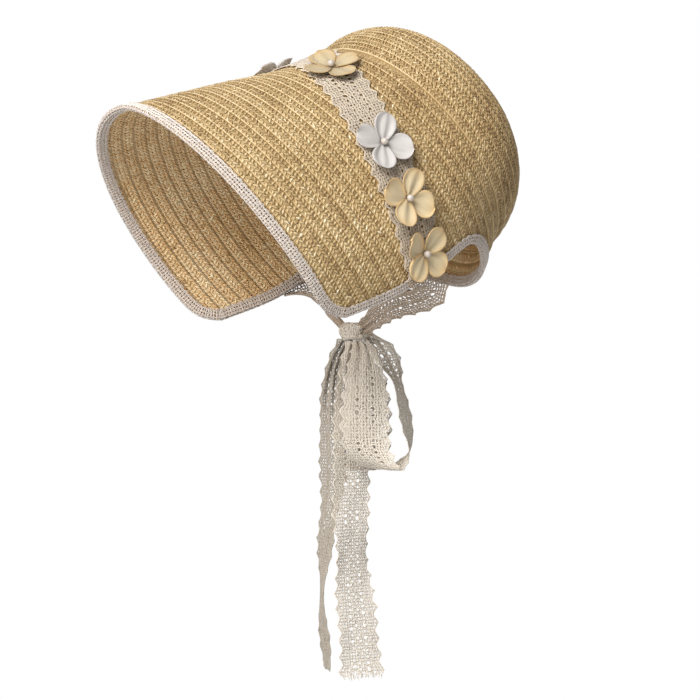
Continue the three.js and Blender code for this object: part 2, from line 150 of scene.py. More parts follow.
# Lace ribbon on the shell
BAND_TOP = -62
BAND_SLANT = 0.52
BAND_BEND = 10
BAND_END = -24.4
RIBBON_HALF = 16
RIBBON_WALL = 0.8
RIBBON_LIFT = 0.45
RISE_LIFT = 1.45
RISE_FROM = -16
RISE_TO = -20.5

# Cloth grids: the step along a strip, a ribbon grid's half width as a share of the ribbon's, and counts
CLOTH_STEP = 1.2
GRID_EDGE = 1.05
RIBBON_COLUMN_COUNT = 29
BAND_ROWS = 420
BAND_COLUMNS = 11
FOLD_COLUMNS = 17

# Edging folded over an edge of the straw: places outward of the edge and up from the shell
EDGING_FOLD = ((-6, 0.62), (-3, 0.66), (0, 0.7), (0.5, 0.45), (0.75, -0.3), (0.8, -1.0), (0.75, -1.7),
               (0.5, -2.45), (0, -2.7), (-3, -3.0), (-6, -3.3))
EDGING_COLUMNS = 7
EDGING_HEM = 0.9
PICOT_FROM = 0.35
PICOT_OUT = 0.75
PICOT_RISE = 0.05

# Flowers and pearls along the ribbon
# Last column: a share of each flower's colours that paints light or shade on it; above one is painted
# light, below one painted shade
FLOWERS = table(
    "angle spin lift tint dye",
    (-17.5, -20, 2.9, "cream", 1.12),
    (2.5, -30, 1.65, "cream", 1.0),
    (22, -36, 1.65, "white", 1.0),
    (64.5, 10, 1.65, "cream", 0.74),
    (115.5, 25, 1.65, "white", 1.1),
    (158, 36, 1.65, "cream", 0.92),
    (177.5, 30, 1.65, "white", 1.0),
    (197.5, 20, 2.9, "cream", 1.05),
)
CREAM_RIM = (0.70, 0.43, 0.15)
WHITE_RIM = (0.55, 0.51, 0.48)
FLOWER_WALL = 1
FLOWER_CUP = 4.5
PETALS = 4
PETAL_GRID = (17, 15)
PETAL_ROOT = 0.05
PETAL_WIDEST = 0.62
PETAL_NECK = 0.17
PETAL_TURN = 5
PETAL_WIDTHS = (0.82, 0.98)
PETAL_LENGTHS = (0.95, 1.03)
CREASE_HEIGHT = 0.62
CREASE_RATES = (5, 7.5)
PETAL_CURL = 1.7
PETAL_TWIST = 1.3
PETAL_HOLLOWS = (0.6, 1.9)
PETAL_OVERLAP = 0.5
PETAL_LEAST = 0.15
PETAL_SKIN = 0.7
SKIN_TAPER = 0.55
PEARL_GAP = 0.3
PEARL_STEPS = 26
PEARL_BENDS = (8, 172, 19)
PEARL_DEEP = (0.62, 0.53, 0.46, 1)

# A pearl's drilled end: places out from its middle, and heights as shares of its radius
PEARL_DIMPLE = ((0.0, 0.93), (0.17, 0.94))

# Bow: centre line, half width, and the width's direction as a turn from +Y to +X and a tip up
KNOT_CENTRE = np.array([0, -23, -200])
KNOT_HALF = np.array([11, 7, 6])
KNOT_SQUARENESS = 4
KNOT_CORE = 0.9
KNOT_PLEATS = 0.07
KNOT_FOLDS = 5
KNOT_TWIST = 3
KNOT_SHIFT = 0.8
KNOT_PINCH = 0.14
KNOT_GRID = (36, 72)
# The knot's core gets the lowest thread tone: painted shade inside the knot
CORE_PAINTED_SHADE = 0.1
LOOP_WAVE = 0.8
TAIL_WAVE = 1.2
PLEAT_DEPTH = 1.9
PLEAT_RATE = 7.0
PLEAT_UNEVEN = 1.1
PLEAT_BEAT = 2.3
PLEAT_SHIFT = 0.6
PLEAT_DRIFT = 0.03
WAVE_ALONG = 0.11
WAVE_ACROSS = 1.3
RIBBON_COLUMNS = "place x y z half turn tip"
TIE_START = ((0.3, 0.1), (5, 0.8))
TIE = [
    (73, -13, -177.2, 13.4, 16, -18),
    (42, -20, -184.5, 9, 20, -55),
    (11.4, -23, -198.2, 5.2, 16, -68),
]
LEFT_LOOP = [
    (7, -23, -206.2, 5, 0, 0),
    (15, -24, -213, 9, 8, 0),
    (22, -27, -232, 14.5, 16, 0),
    (25, -29, -259, 16, 24, 0),
    (23, -25, -280, 16, 50, 0),
    (24, -10, -291, 16, 90, 0),
    (22, 6, -281, 16, 122, 0),
    (20, 5.4, -259, 16, 133, 0),
    (18, 1, -236, 14.5, 135, 0),
    (11, -2, -221, 12, 165, 0),
    (8, -8, -209, 9, 195, 0),
    (4, -14.8, -201.5, 4, 262, 0),
]
RIGHT_LOOP = [
    (-3.4, -21, -206.4, 4, 0, 0),
    (-5, -16, -216, 9, 0, 0),
    (-6, -8, -235, 14, 0, 0),
    (-6, -7, -262, 16, 0, 0),
    (-8, -7, -284, 16, 0, 0),
    (-11.5, -7, -293, 16, 0, 0),
    (-15, -7, -285, 16, 0, 0),
    (-17, -7, -262, 16, 0, 0),
    (-15, -7, -235, 13.5, 0, 0),
    (-10, -15, -216, 8, 0, 0),
    (-6.8, -21, -206.1, 4, 0, 0),
]
LEFT_TAIL = [
    (0.2, -23, -206.4, 5, 0, 0),
    (0.5, -24, -216, 8, 0, 0),
    (1, -24.5, -240, 13, 0, 0),
    (1, -25, -292, 16, -8, 0),
    (2, -26, -340, 16, -18, 0),
    (5, -24, -385, 16, -8, 0),
    (8, -21, -426, 16, 2, 0),
]
RIGHT_TAIL = [
    (-9.6, -24, -205.3, 4.5, 0, 0),
    (-12.5, -29, -218, 5.5, 15, 0),
    (-16, -31, -240, 7, 35, 0),
    (-16.5, -31, -262, 8.5, 58, 0),
    (-16.5, -29.5, -292, 11.5, 75, 0),
    (-17, -34.5, -337, 14.5, 100, 0),
    (-16.5, -38, -367, 16, 112, 0),
    (-15, -35.5, -421, 16, 110, 0),
]

# Shares of the ribbon's colour: the band lies on straw, and the ties and one tail are darkened with
# painted shade, as if in shadow
RIBBON_TONE_AND_PAINTED_SHADE = dict(
    lace_band=(0.84, 0.80, 0.745),
    bow_tail_right=(0.53, 0.51, 0.485),
    tie_left=(0.62, 0.535, 0.46),
    tie_right=(0.62, 0.535, 0.46),
)

# Lace chart: a mesh of thread pairs, parted round eyelets and drawn out into points along its edges
MESH_ALONG = 2.08
MESH_ACROSS = 2.1
MESH_SIDE_COLUMNS = 7
MESH_FINE_COLUMNS = 4
PAIR_HALF = 0.33
PAIR_RISE = 0.1
CROSS_SHIFT = 0.001
EDGE_CORD = 0.97
EYELET_STEP = 4.16
EYELET_SHARPNESS = 3
EYELET_SIZES = (0.55, 1.3, 37)
EYELETS = table(
    "across start radius",
    (1.05, 3.12, 0.8),
    (5.25, 1.04, 1.25),
    (9.45, 3.12, 0.8),
)
SCALLOP_STEP = 10.4
SCALLOP_FROM = 8
SCALLOP_OUT = 1.5
SCALLOP_IN = 2
SCALLOP_POINT = 1.4
THREAD_SWAY = 0.33
SWAY_RATES = ((0.83, 1.31), (1.27, -0.71))
THREAD_SPREAD = (0.92, 1.08)
SHADE_SPREAD = (0.2, 0.8)
FRAY = 4.0
FRAY_SPREAD = (-0.2, 1)
FRAY_ENDS = np.arange(-15, 15.1, 1.3)
FRAY_REACH = (0.8, 3.4)
FRAY_LEAN = 0.9
FRAY_RISE = 0.6

# View and light
CAMERA_PLACE = (1.4606, -0.8692, -0.2123)
CAMERA_TARGET = (-0.0117, -0.0192, -0.2123)
CAMERA_LENS = 131.2
LIGHT_TARGET = (-0.01, -0.02, -0.14)
LIGHTS = table(
    "name place size",
    ("key", (1.08, -1.44, 1.12), 1.0),
    ("fill", (0.85, -2.05, 0.7), 1.2),
    ("top", (-0.3, 0.1, 1.8), 1.4),
)
FLOOR_HALF = 9000
FLOOR_HEIGHT = -700
FLOOR_GREYS = ((0.3, (0.7, 0.7, 0.7, 1)), (0.7, (0.74, 0.74, 0.74, 1)))
WHITE = (1, 1, 1, 1)


def length_setting(name, description, size):
    return FloatProperty(name=name, description=description, default=size * MM, unit="LENGTH")


def colour_setting(name, description, colour):
    return FloatVectorProperty(
        name=name, description=description, default=(*colour, 1), subtype="COLOR", size=4)


def power_setting(name, description, power):
    return FloatProperty(name=name, description=description, default=power, unit="POWER")


class Straw(bpy.types.PropertyGroup):
    """Sizes and colours of the plaited straw."""
    row_pitch: length_setting("Row pitch", "From one plait row to the next", 7.6)
    plait_step: length_setting("Plait step", "From one crossing to the next along a row", 3.0)
    splint_length: length_setting("Splint length", "Visible length of one straw splint", 4.5)
    splint_width: length_setting("Splint width", "Width of one straw splint", 2.15)
    splint_height: length_setting("Splint height", "How far a splint stands out of its row", 0.5)
    splint_slant: FloatProperty(
        name="Splint slant", description="Angle between a splint and its row",
        default=math.radians(48), subtype="ANGLE")
    seed: IntProperty(name="Seed", description="Seed of the straw's unevenness", default=7)
    shade: colour_setting("Shade", "Straw in the gaps of the plait", (0.2, 0.11, 0.042))
    colour: colour_setting("Straw", "Middle colour of the straw", (0.57, 0.405, 0.19))
    glint: colour_setting("Glint", "Palest splints", (0.9, 0.77, 0.54))


class Lace(bpy.types.PropertyGroup):
    """Sizes and colours of the lace."""
    thread: length_setting("Thread radius", "Radius of a lace thread", 0.3)
    cord: length_setting("Cord radius", "Radius of the cords along the ribbon's edges", 0.36)
    sides: IntProperty(name="Thread sides", description="Sides of a thread's section", default=3, min=3)
    seed: IntProperty(name="Seed", description="Seed of the threads' unevenness", default=3)
    ribbon: colour_setting("Ribbon", "Colour of the ribbon lace", (0.85, 0.77, 0.66))
    edging: colour_setting("Edging", "Colour of the folded edging lace", (0.80, 0.715, 0.645))


class Trim(bpy.types.PropertyGroup):
    """Sizes and colours of the flowers and pearls."""
    radius: length_setting("Flower radius", "From the middle to a petal's tip", 19.5)
    petal_half: length_setting("Petal half width", "Half the width of a petal at its widest", 9.4)
    pearl: length_setting("Pearl radius", "Radius of a pearl", 2.3)
    seed: IntProperty(name="Seed", description="Seed of the petals' curl", default=11)
    cream: colour_setting("Cream petal", "Colour of the cream flowers", (0.71, 0.585, 0.37))
    white: colour_setting("White petal", "Colour of the white flowers", (0.58, 0.545, 0.515))
    nacre: colour_setting("Pearl", "Colour of the pearls", (0.56, 0.49, 0.42))


class Studio(bpy.types.PropertyGroup):
    """Light of the stage."""
    key: power_setting("Key light", "Soft light from the front", 45)
    fill: power_setting("Fill light", "Soft light into the face opening", 20.5)
    top: power_setting("Top light", "Soft light from above", 1.5)
    sky: FloatProperty(name="Surround", description="Light of the white surround", default=0.31)


class Bonnet(bpy.types.PropertyGroup):
    """All settings of the bonnet."""
    straw: PointerProperty(type=Straw)
    lace: PointerProperty(type=Lace)
    trim: PointerProperty(type=Trim)
    studio: PointerProperty(type=Studio)


class Value:
    """A socket in a node tree; an expression on it adds the Math nodes."""

    def __init__(self, graph, socket):
        self.graph = graph
        self.socket = socket

    def math(self, operation, *terms):
        return self.graph.node("ShaderNodeMath", {"operation": operation}, dict(enumerate(terms)))

    def __add__(self, other):
        return self.math("ADD", self, other)

    def __sub__(self, other):
        return self.math("SUBTRACT", self, other)

    def __mul__(self, other):
        return self.math("MULTIPLY", self, other)

    def __pow__(self, other):
        return self.math("POWER", self, other)

    def __radd__(self, other):
        return self.math("ADD", other, self)

    def __rsub__(self, other):
        return self.math("SUBTRACT", other, self)

    def __rmul__(self, other):
        return self.math("MULTIPLY", other, self)

    def __abs__(self):
        return self.math("ABSOLUTE", self)


class Graph:
    """A node tree under construction."""

    def __init__(self, tree):
        self.tree = tree

    def node(self, kind, settings=None, inputs=None, output=0):
        node = self.tree.nodes.new(kind)
        for name, value in (settings or {}).items():
            if name == "stops":
                self.set_stops(node.color_ramp, value)
            else:
                setattr(node, name, value)
        for key, value in (inputs or {}).items():
            if isinstance(value, Value):
                self.tree.links.new(value.socket, node.inputs[key])
            else:
                node.inputs[key].default_value = value
        if output is None:
            return node
        sockets = [socket for socket in node.outputs if socket.enabled]
        return Value(self, node.outputs[output] if isinstance(output, str) else sockets[output])

    @staticmethod
    def set_stops(ramp, stops):
        while len(ramp.elements) < len(stops):
            ramp.elements.new(1)
        for element, (place, colour) in zip(ramp.elements, stops):
            element.position = place
            element.color = colour

    def split(self, vector):
        node = self.node("ShaderNodeSeparateXYZ", inputs={0: vector}, output=None)
        return [Value(self, socket) for socket in node.outputs]

    def join(self, x, y, z):
        return self.node("ShaderNodeCombineXYZ", inputs={0: x, 1: y, 2: z})


class Finish(Graph):
    """A surface material under construction."""

    def __init__(self, name):
        self.material = bpy.data.materials.new(name)
        self.material.use_nodes = True
        super().__init__(self.material.node_tree)
        self.tree.nodes.clear()

    def attribute(self, name, output="Fac"):
        return self.node("ShaderNodeAttribute", {"attribute_name": name}, output=output)

    def place(self):
        return self.node("ShaderNodeTexCoord", output="Object")

    def noise(self, vector, scale, detail=2.0):
        return self.node("ShaderNodeTexNoise", inputs={"Vector": vector, "Scale": scale, "Detail": detail})

    def ramp(self, factor, stops):
        return self.node("ShaderNodeValToRGB", {"stops": stops}, {"Fac": factor}, "Color")

    def blend(self, factor, first, second):
        node = self.node("ShaderNodeMix", {"data_type": "RGBA"}, {0: factor, 6: first, 7: second}, None)
        return Value(self, node.outputs[2])

    def larger(self, first, second):
        return self.node("ShaderNodeMath", {"operation": "MAXIMUM"}, {0: first, 1: second})

    def bump(self, height, strength, distance):
        return self.node(
            "ShaderNodeBump", inputs={"Height": height, "Strength": strength, "Distance": distance})

    def output(self, shader):
        self.node("ShaderNodeOutputMaterial", inputs={"Surface": shader}, output=None)
        return self.material

    def surface(self, **inputs):
        names = {key: key.replace("_", " ").title().replace("Ior", "IOR") for key in inputs}
        return self.output(self.node(
            "ShaderNodeBsdfPrincipled", inputs={names[key]: value for key, value in inputs.items()}))


def column(rows, place, key, at):
    """A table's column at places between its rows, smooth and without overshoot."""
    x = np.array([row[place] for row in rows], float)
    y = np.array([row[key] for row in rows], float)
    slope = np.diff(y) / np.diff(x)
    before, after = slope[:-1], slope[1:]
    alike = before * after > 0
    total = np.where(alike, before + after, 1)
    knots = np.concatenate([slope[:1], np.where(alike, 2 * before * after / total, 0), slope[-1:]])
    at = np.asarray(at, float)
    i = np.clip(np.searchsorted(x, at) - 1, 0, len(x) - 2)
    width = x[i + 1] - x[i]
    t = (at - x[i]) / width
    rest = 1 - t
    return (rest * rest * (1 + 2 * t) * y[i] + t * t * (3 - 2 * t) * y[i + 1]
            + t * rest * width * (rest * knots[i] - t * knots[i + 1]))


def signed_power(value, power):
    return np.sign(value) * np.abs(value) ** power


def unit(vectors):
    return vectors / np.maximum(np.linalg.norm(vectors, axis=-1, keepdims=True), 1e-12)


AXIS = np.array([0, math.cos(math.radians(AXIS_TILT)), math.sin(math.radians(AXIS_TILT))])
RISE = np.array([0, -AXIS[2], AXIS[1]])
RIGHTWARD = np.array([1.0, 0, 0])
DOME_START = HOOPS[-1]["along"]


def run_of(along):
    return along - DOME_START


def side_angle(angle):
    return np.minimum(angle, 180 - np.asarray(angle, float))


def shell_point(run, angle):
    """Points of the shell: run is millimetres before the dome, or degrees round it once positive."""
    run, angle = np.broadcast_arrays(np.asarray(run, float), np.asarray(angle, float))
    flat = DOME_START + np.minimum(run, 0)
    turn = np.radians(np.clip(run, 0, 90))
    deep = np.sin(turn) ** (2 / DOME_POWER)
    shrink = np.maximum(np.cos(turn), 0) ** (2 / DOME_POWER)
    top, low, half, lead = (column(HOOPS, "along", key, flat) for key in ("top", "low", "half", "lead"))
    middle = (top + low) / 2 + DOME_RISE * deep
    sine = np.sin(np.radians(angle))
    power = 2 / np.where(sine < 0, LOW_ROUNDNESS, TOP_ROUNDNESS)
    height = middle + (top - low) / 2 * shrink * signed_power(sine, power)
    climb = np.clip((side_angle(angle) + LEAD_ANGLE) / (90 + LEAD_ANGLE), 0, 1)
    along = flat + DOME_DEPTH * deep - lead * (1 - climb * climb)
    across = half * shrink * signed_power(np.cos(np.radians(angle)), power)
    return (AXIS_ORIGIN + across[..., None] * RIGHTWARD + along[..., None] * AXIS
            + height[..., None] * RISE)


def shell_frame(run, angle, lift=0.0):
    """Points, outward normals and the two surface directions at places on the shell."""
    run, angle, lift = np.broadcast_arrays(*(np.asarray(v, float) for v in (run, angle, lift)))
    back = shell_point(run + 0.5, angle) - shell_point(run - 0.5, angle)
    around = shell_point(run, angle + 0.5) - shell_point(run, angle - 0.5)
    normal = unit(np.cross(back, around))
    normal = np.where((run >= POLE_RUN)[..., None], AXIS, normal)
    return shell_point(run, angle) + normal * lift[..., None], normal, back, around


def face_along(angle):
    return column(FACE_EDGE, "angle", "along", side_angle(angle))


def band_along(angle):
    return BAND_TOP - BAND_SLANT * (np.hypot(90 - np.asarray(angle, float), BAND_BEND) - BAND_BEND)


def brim_limits(angle):
    return run_of(face_along(angle)), run_of(band_along(angle)) - SEAM_GAP / 2


def crown_limits(angle):
    side = side_angle(angle)
    neck = column(NECK_EDGE, "angle", "along", np.minimum(side, CHEEK_ANGLE))
    front = band_along(angle) + SEAM_GAP / 2
    return run_of(np.where(side < CHEEK_ANGLE, neck, front)), np.full(side.shape, 90.0)


def edge_rise(angle):
    t = np.clip((RISE_FROM - side_angle(angle)) / (RISE_FROM - RISE_TO), 0, 1)
    return RISE_LIFT * t * t * (3 - 2 * t)


def band_frame(angle, across, lift):
    """Places on the ribbon over the shell: across runs from -1 at its front edge to 1 at its back edge."""
    angle, across = np.broadcast_arrays(np.asarray(angle, float), np.asarray(across, float))
    run = run_of(band_along(angle))
    _, normal, back, around = shell_frame(run, angle)
    slant = band_along(angle + 0.5) - band_along(angle - 0.5)
    line = around + back * slant[..., None]
    side = unit(np.cross(line, normal)) * (across * RIBBON_HALF)[..., None]
    dot = lambda a, b: np.sum(a * b, axis=-1)
    skew = dot(back, around)
    scale = dot(back, back) * dot(around, around) - skew * skew
    backward = (dot(side, back) * dot(around, around) - dot(side, around) * skew) / scale
    turn = (dot(side, around) * dot(back, back) - dot(side, back) * skew) / scale
    return shell_frame(run + backward, angle + turn, lift)


def arc_length(points):
    steps = np.linalg.norm(np.diff(points, axis=0), axis=1)
    return np.concatenate([[0], np.cumsum(steps)])


def mesh_object(name, points, edges=(), faces=(), attributes=None):
    """An object at the origin whose mesh holds the points, given in millimetres."""
    mesh = bpy.data.meshes.new(name)
    mesh.from_pydata(np.asarray(points) * MM, [tuple(e) for e in edges], [tuple(f) for f in faces])
    for key, values in (attributes or {}).items():
        values = np.asarray(values)
        kind = {1: "FLOAT", 2: "FLOAT_VECTOR"}[values.ndim]
        if values.dtype == bool:
            kind = "BOOLEAN"
        layer = mesh.attributes.new(key, kind, "POINT")
        layer.data.foreach_set("vector" if values.ndim == 2 else "value", values.ravel())
    item = bpy.data.objects.new(name, mesh)
    bpy.context.collection.objects.link(item)
    return item


def apply_nodes(item, tree, inputs):
    """Runs a geometry tree on an object once and keeps its result as a plain mesh."""
    modifier = item.modifiers.new(tree.name, "NODES")
    modifier.node_group = tree
    sockets = {socket.name: socket.identifier for socket in tree.interface.items_tree}
    for name, value in inputs.items():
        modifier[sockets[name]] = value
    bpy.context.view_layer.update()
    graph = bpy.context.evaluated_depsgraph_get()
    made = bpy.data.meshes.new_from_object(
        item.evaluated_get(graph), preserve_all_data_layers=True, depsgraph=graph)
    old = item.data
    item.modifiers.clear()
    item.data = made
    made.name = item.name
    bpy.data.meshes.remove(old)
    if not made.polygons:
        raise RuntimeError(item.name + " came out empty")
    return item


def geometry_tree(name, sizes):
    """A geometry tree with named size inputs and a material input."""
    tree = bpy.data.node_groups.new(name, "GeometryNodeTree")
    face = tree.interface
    face.new_socket("Geometry", in_out="INPUT", socket_type="NodeSocketGeometry")
    for size, kind in sizes.items():
        face.new_socket(size, in_out="INPUT", socket_type=kind)
    face.new_socket("Material", in_out="INPUT", socket_type="NodeSocketMaterial")
    face.new_socket("Geometry", in_out="OUTPUT", socket_type="NodeSocketGeometry")
    graph = Graph(tree)
    entry = graph.node("NodeGroupInput", output=None)
    return graph, {socket.name: Value(graph, socket) for socket in entry.outputs if socket.name}


def end_tree(graph, shape, entry):
    smooth = graph.node("GeometryNodeSetShadeSmooth", inputs={"Geometry": shape})
    real = graph.node("GeometryNodeRealizeInstances", inputs={"Geometry": smooth})
    painted = graph.node(
        "GeometryNodeSetMaterial", inputs={"Geometry": real, "Material": entry["Material"]})
    graph.node("NodeGroupOutput", inputs={0: painted}, output=None)
    return graph.tree


def named(graph, name, kind):
    return graph.node("GeometryNodeInputNamedAttribute", {"data_type": kind}, {"Name": name})


def plait_tree():
    """Lays one splint of straw on every marked point and joins them with the row strips."""
    sizes = {"Splint Length": "NodeSocketFloat", "Splint Width": "NodeSocketFloat",
             "Splint Height": "NodeSocketFloat"}
    graph, entry = geometry_tree("Straw Plait", sizes)
    bar = graph.node("GeometryNodeMeshCylinder", {"fill_type": "NGON"}, {
        "Vertices": 3, "Side Segments": 2, "Radius": 1.0, "Depth": 1.0})
    up, aside, along = graph.split(graph.node("GeometryNodeInputPosition"))
    taper = 1.0 - SPLINT_TAPER * abs(along * 2.0)
    shape = graph.join(
        along * entry["Splint Length"],
        aside * SECTION_WIDE * taper * entry["Splint Width"],
        (up + 0.5) * SECTION_HIGH * (SPLINT_TIP + (1 - SPLINT_TIP) * taper) * entry["Splint Height"])
    grained = graph.node(
        "GeometryNodeStoreNamedAttribute", {"data_type": "FLOAT_VECTOR", "domain": "POINT"},
        {"Geometry": bar, "Name": "grain", "Value": graph.join(along, aside, 0.0)})
    splint = graph.node("GeometryNodeSetPosition", inputs={"Geometry": grained, "Position": shape})
    parts = graph.node("GeometryNodeSeparateGeometry", {"domain": "POINT"}, {
        "Geometry": entry["Geometry"], "Selection": named(graph, "splint", "BOOLEAN")}, None)
    points = graph.node("GeometryNodeMeshToPoints", inputs={"Mesh": Value(graph, parts.outputs[0])})
    turn = graph.node(
        "FunctionNodeAxesToRotation", {"primary_axis": "Z", "secondary_axis": "X"},
        {0: named(graph, "out", "FLOAT_VECTOR"), 1: named(graph, "lie", "FLOAT_VECTOR")})
    laid = graph.node("GeometryNodeInstanceOnPoints", inputs={
        "Points": points, "Instance": splint, "Rotation": turn,
        "Scale": named(graph, "size", "FLOAT_VECTOR")})
    joined = graph.node("GeometryNodeJoinGeometry", inputs={0: laid}, output=None)
    graph.tree.links.new(parts.outputs[1], joined.inputs[0])
    return end_tree(graph, Value(graph, joined.outputs[0]), entry)


def thread_tree():
    """Gives every chain of edges a round thread of its own thickness."""
    graph, entry = geometry_tree("Lace Threads", {"Thread Sides": "NodeSocketInt"})
    curve = graph.node("GeometryNodeMeshToCurve", inputs={"Mesh": entry["Geometry"]})
    section = graph.node("GeometryNodeCurvePrimitiveCircle", {"mode": "RADIUS"}, {
        "Resolution": entry["Thread Sides"], "Radius": 1.0})
    tube = graph.node("GeometryNodeCurveToMesh", inputs={
        "Curve": curve, "Profile Curve": section, "Scale": named(graph, "thick", "FLOAT"),
        "Fill Caps": True})
    return end_tree(graph, tube, entry)


def shaded(colour, share):
    """A colour times a share, for all its channels or for each, within what a surface can reflect."""
    return (*(min(channel * part, 0.95) for channel, part in zip(colour, np.broadcast_to(share, 3))), 1)


def straw_finish(name, straw, bounce_warmth=1):
    """Straw: each splint has its own tint, fibres along it, a slight gloss, and a painted highlight along
    its middle with painted shade at its ends.
    """
    finish = Finish(name)
    tint = finish.attribute("tint")
    along, aside, _ = finish.split(finish.attribute("grain", "Vector"))
    fibre = finish.noise(finish.join(along * 1.6 + tint * 40.0, aside * 9.0, tint * 90.0), 1.0)
    place = finish.place()
    patch = finish.noise(place, 26.0)
    speck = finish.noise(place, 420.0)
    # Painted highlight along each splint's middle, painted shade at its ends
    painted_crest_light = 0.5 - abs(along * 2.0)
    tone = (tint * 0.8 + painted_crest_light * 0.17 + (fibre - 0.5) * 0.4 + (patch - 0.5) * 0.3
            + (speck - 0.5) * 0.2 + 0.1)
    stops = ((0.0, straw.shade), (0.28, STRAW_DIM), (0.52, straw.colour), (0.74, STRAW_PALE),
             (1.0, straw.glint))
    return finish.surface(
        base_color=finish.ramp(tone, [(at, shaded(colour, bounce_warmth)) for at, colour in stops]),
        roughness=0.3 + fibre * 0.3, coat_weight=0.2, coat_roughness=0.28,
        normal=finish.bump(fibre + speck * 0.3, 0.5, 0.0002))


def lace_finish(name, colour):
    """Cotton thread: each thread has its own shade, with cloudy patches and a fine fuzz."""
    finish = Finish(name)
    place = finish.place()
    cloud = finish.noise(place, 45.0)
    fuzz = finish.noise(place, 2600.0)
    tone = finish.attribute("shade") * 0.45 + cloud * 0.35 + fuzz * 0.35
    stops = [(at, shaded(colour, share)) for at, share in ((0.2, 0.78), (0.55, 1), (0.95, 1.1))]
    return finish.surface(
        base_color=finish.ramp(tone, stops), roughness=0.82 + fuzz * 0.15, sheen_weight=0.15,
        specular_ior_level=0.25, normal=finish.bump(fuzz, 0.6, 0.00015))


def petal_finish(name, colour, rim):
    """Dyed cloth: veins along each petal, a deeper rim and a dark heart."""
    finish = Finish(name)
    reach, across, shade = finish.split(finish.attribute("petal", "Vector"))
    place = finish.place()
    vein = finish.noise(finish.join(reach * 2.0, across * 16.0, shade * 7.0), 1.0, 3.0)
    mottle = finish.noise(place, 95.0)
    nap = finish.noise(place, 2400.0)
    own = finish.noise(finish.join(shade * 5.3, shade * 2.1, 0.0), 1.0, 0.0)
    tone = vein * 0.5 + mottle * 0.4 + (own - 0.5) * 0.3 + nap * 0.1 + (reach - 0.5) * 0.25
    stops = [(at, shaded(colour, share)) for at, share in ((0.3, 0.8), (0.52, 1), (0.78, 1.12))]
    base = finish.ramp(tone, stops)
    edge = finish.larger(reach ** 5.0, abs(across) ** 4.0)
    base = finish.blend(edge * 0.75, base, rim)
    heart = finish.larger(1.0 - reach, 0.0) ** 4.0
    base = finish.blend(heart * 0.7, base, shaded(rim, 0.55))
    return finish.surface(
        base_color=base, roughness=0.55 + nap * 0.2, sheen_weight=0.2, specular_ior_level=0.35,
        normal=finish.bump(vein * 0.8 + nap * 0.25, 0.5, 0.0005))


def pearl_finish(colour):
    """Cloudy nacre under a clear gloss."""
    finish = Finish("pearl_gloss")
    cloud = finish.noise(finish.place(), 300.0)
    return finish.surface(
        base_color=finish.ramp(cloud, [(0.35, colour), (0.65, PEARL_DEEP)]),
        roughness=0.16 + cloud * 0.12, coat_weight=0.8, coat_roughness=0.06,
        specular_ior_level=0.6, normal=finish.bump(cloud, 0.08, 0.0003))


def kept(item, slot, *nodes):
    """A finished piece: it moves with the bonnet and stands for its solids. The slot is not used."""
    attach(item, "root")
    if nodes:
        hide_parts(*nodes)


def grid_faces(rows, columns, first=0, closed=False, ring=False):
    """Faces of a grid of points. A closed grid joins its last column to its first, and a ring its rows."""
    faces = []
    for i in range(rows if ring else rows - 1):
        low, high = first + i * columns, first + (i + 1) % rows * columns
        for j in range(columns if closed else columns - 1):
            k = (j + 1) % columns
            faces.append((low + j, low + k, high + k, high + j))
    return faces


def row_edges(pitch):
    """Runs of the plait's row edges, from the face edge over the wall and the dome to the tip."""
    first = run_of(FACE_EDGE[-1]["along"])
    wall = np.linspace(first, 0, round(-first / pitch) + 1)
    turns = np.linspace(0, 90, DOME_STEPS)
    arc = arc_length(shell_point(turns, DOME_MERIDIAN))
    steps = np.linspace(0, arc[-1], round(arc[-1] / pitch) + 1)[1:]
    return np.concatenate([wall, np.interp(steps, arc, turns)])


def row_lift(t, inner=False):
    """How far a row's outer or inner face lies from the shell's surface."""
    lift = ROW_FRONT + (ROW_BACK - ROW_FRONT) * t
    return lift - ROW_WALL + np.interp(t, *INNER_RISE) if inner else lift


def row_stretches(limits, angles, lower, upper):
    """Stretches of a plait row that lie inside a part of the shell, and whether each is a whole ring."""
    low, high = limits(angles)
    inside = np.minimum(upper, high) - np.maximum(lower, low) > ROW_LEAST
    if inside.all() and abs(angles[-1] - angles[0] - 360) < 1e-6:
        return [(angles, True)]
    ends = np.flatnonzero(np.diff(np.concatenate([[0], inside.astype(int), [0]])))
    return [(angles[a:b], False) for a, b in zip(ends[::2], ends[1::2]) if b - a > 1]


def row_strips(limits, angles, edges):
    """Closed strips of the plait rows: points, faces and tints."""
    points, faces, tints, count = [], [], [], 0
    section = [(t, row_lift(t) + rise, tint) for t, rise, tint in ROW_OUTER]
    section += [(t, row_lift(t, inner=True), tint) for t, tint in ROW_INNER]
    size = len(section)
    for lower, upper in zip(edges[:-1], edges[1:]):
        for stretch, ring in row_stretches(limits, angles, lower, upper):
            stretch = stretch[:-1] if ring else stretch
            low, high = limits(stretch)
            loops = []
            for t, lift, _ in section:
                run = np.clip(lower + t * (upper - lower), low, np.minimum(high, 90))
                loops.append(shell_frame(run, stretch, lift)[0])
            points.append(np.stack(loops, axis=1).reshape(-1, 3))
            columns = len(stretch)
            tint = np.tile([tint for *_, tint in section], (columns, 1))
            # Painted glint on the lip, palest where the row runs over the top
            top = np.exp(-((stretch - 90) / LIP_GLINT_SPREAD) ** 2)[:, None]
            lip_glint = LIP_SIDE_PAINTED_GLINT + (LIP_PAINTED_GLINT - LIP_SIDE_PAINTED_GLINT) * top
            tints.append(np.where(tint == LIP_PAINTED_GLINT, lip_glint, tint).ravel())
            faces += grid_faces(columns, size, count, closed=True, ring=ring)
            if not ring:
                faces.append(tuple(count + j for j in reversed(range(size))))
                faces.append(tuple(count + (columns - 1) * size + j for j in range(size)))
            count += columns * size
    return np.concatenate(points), faces, np.concatenate(tints)


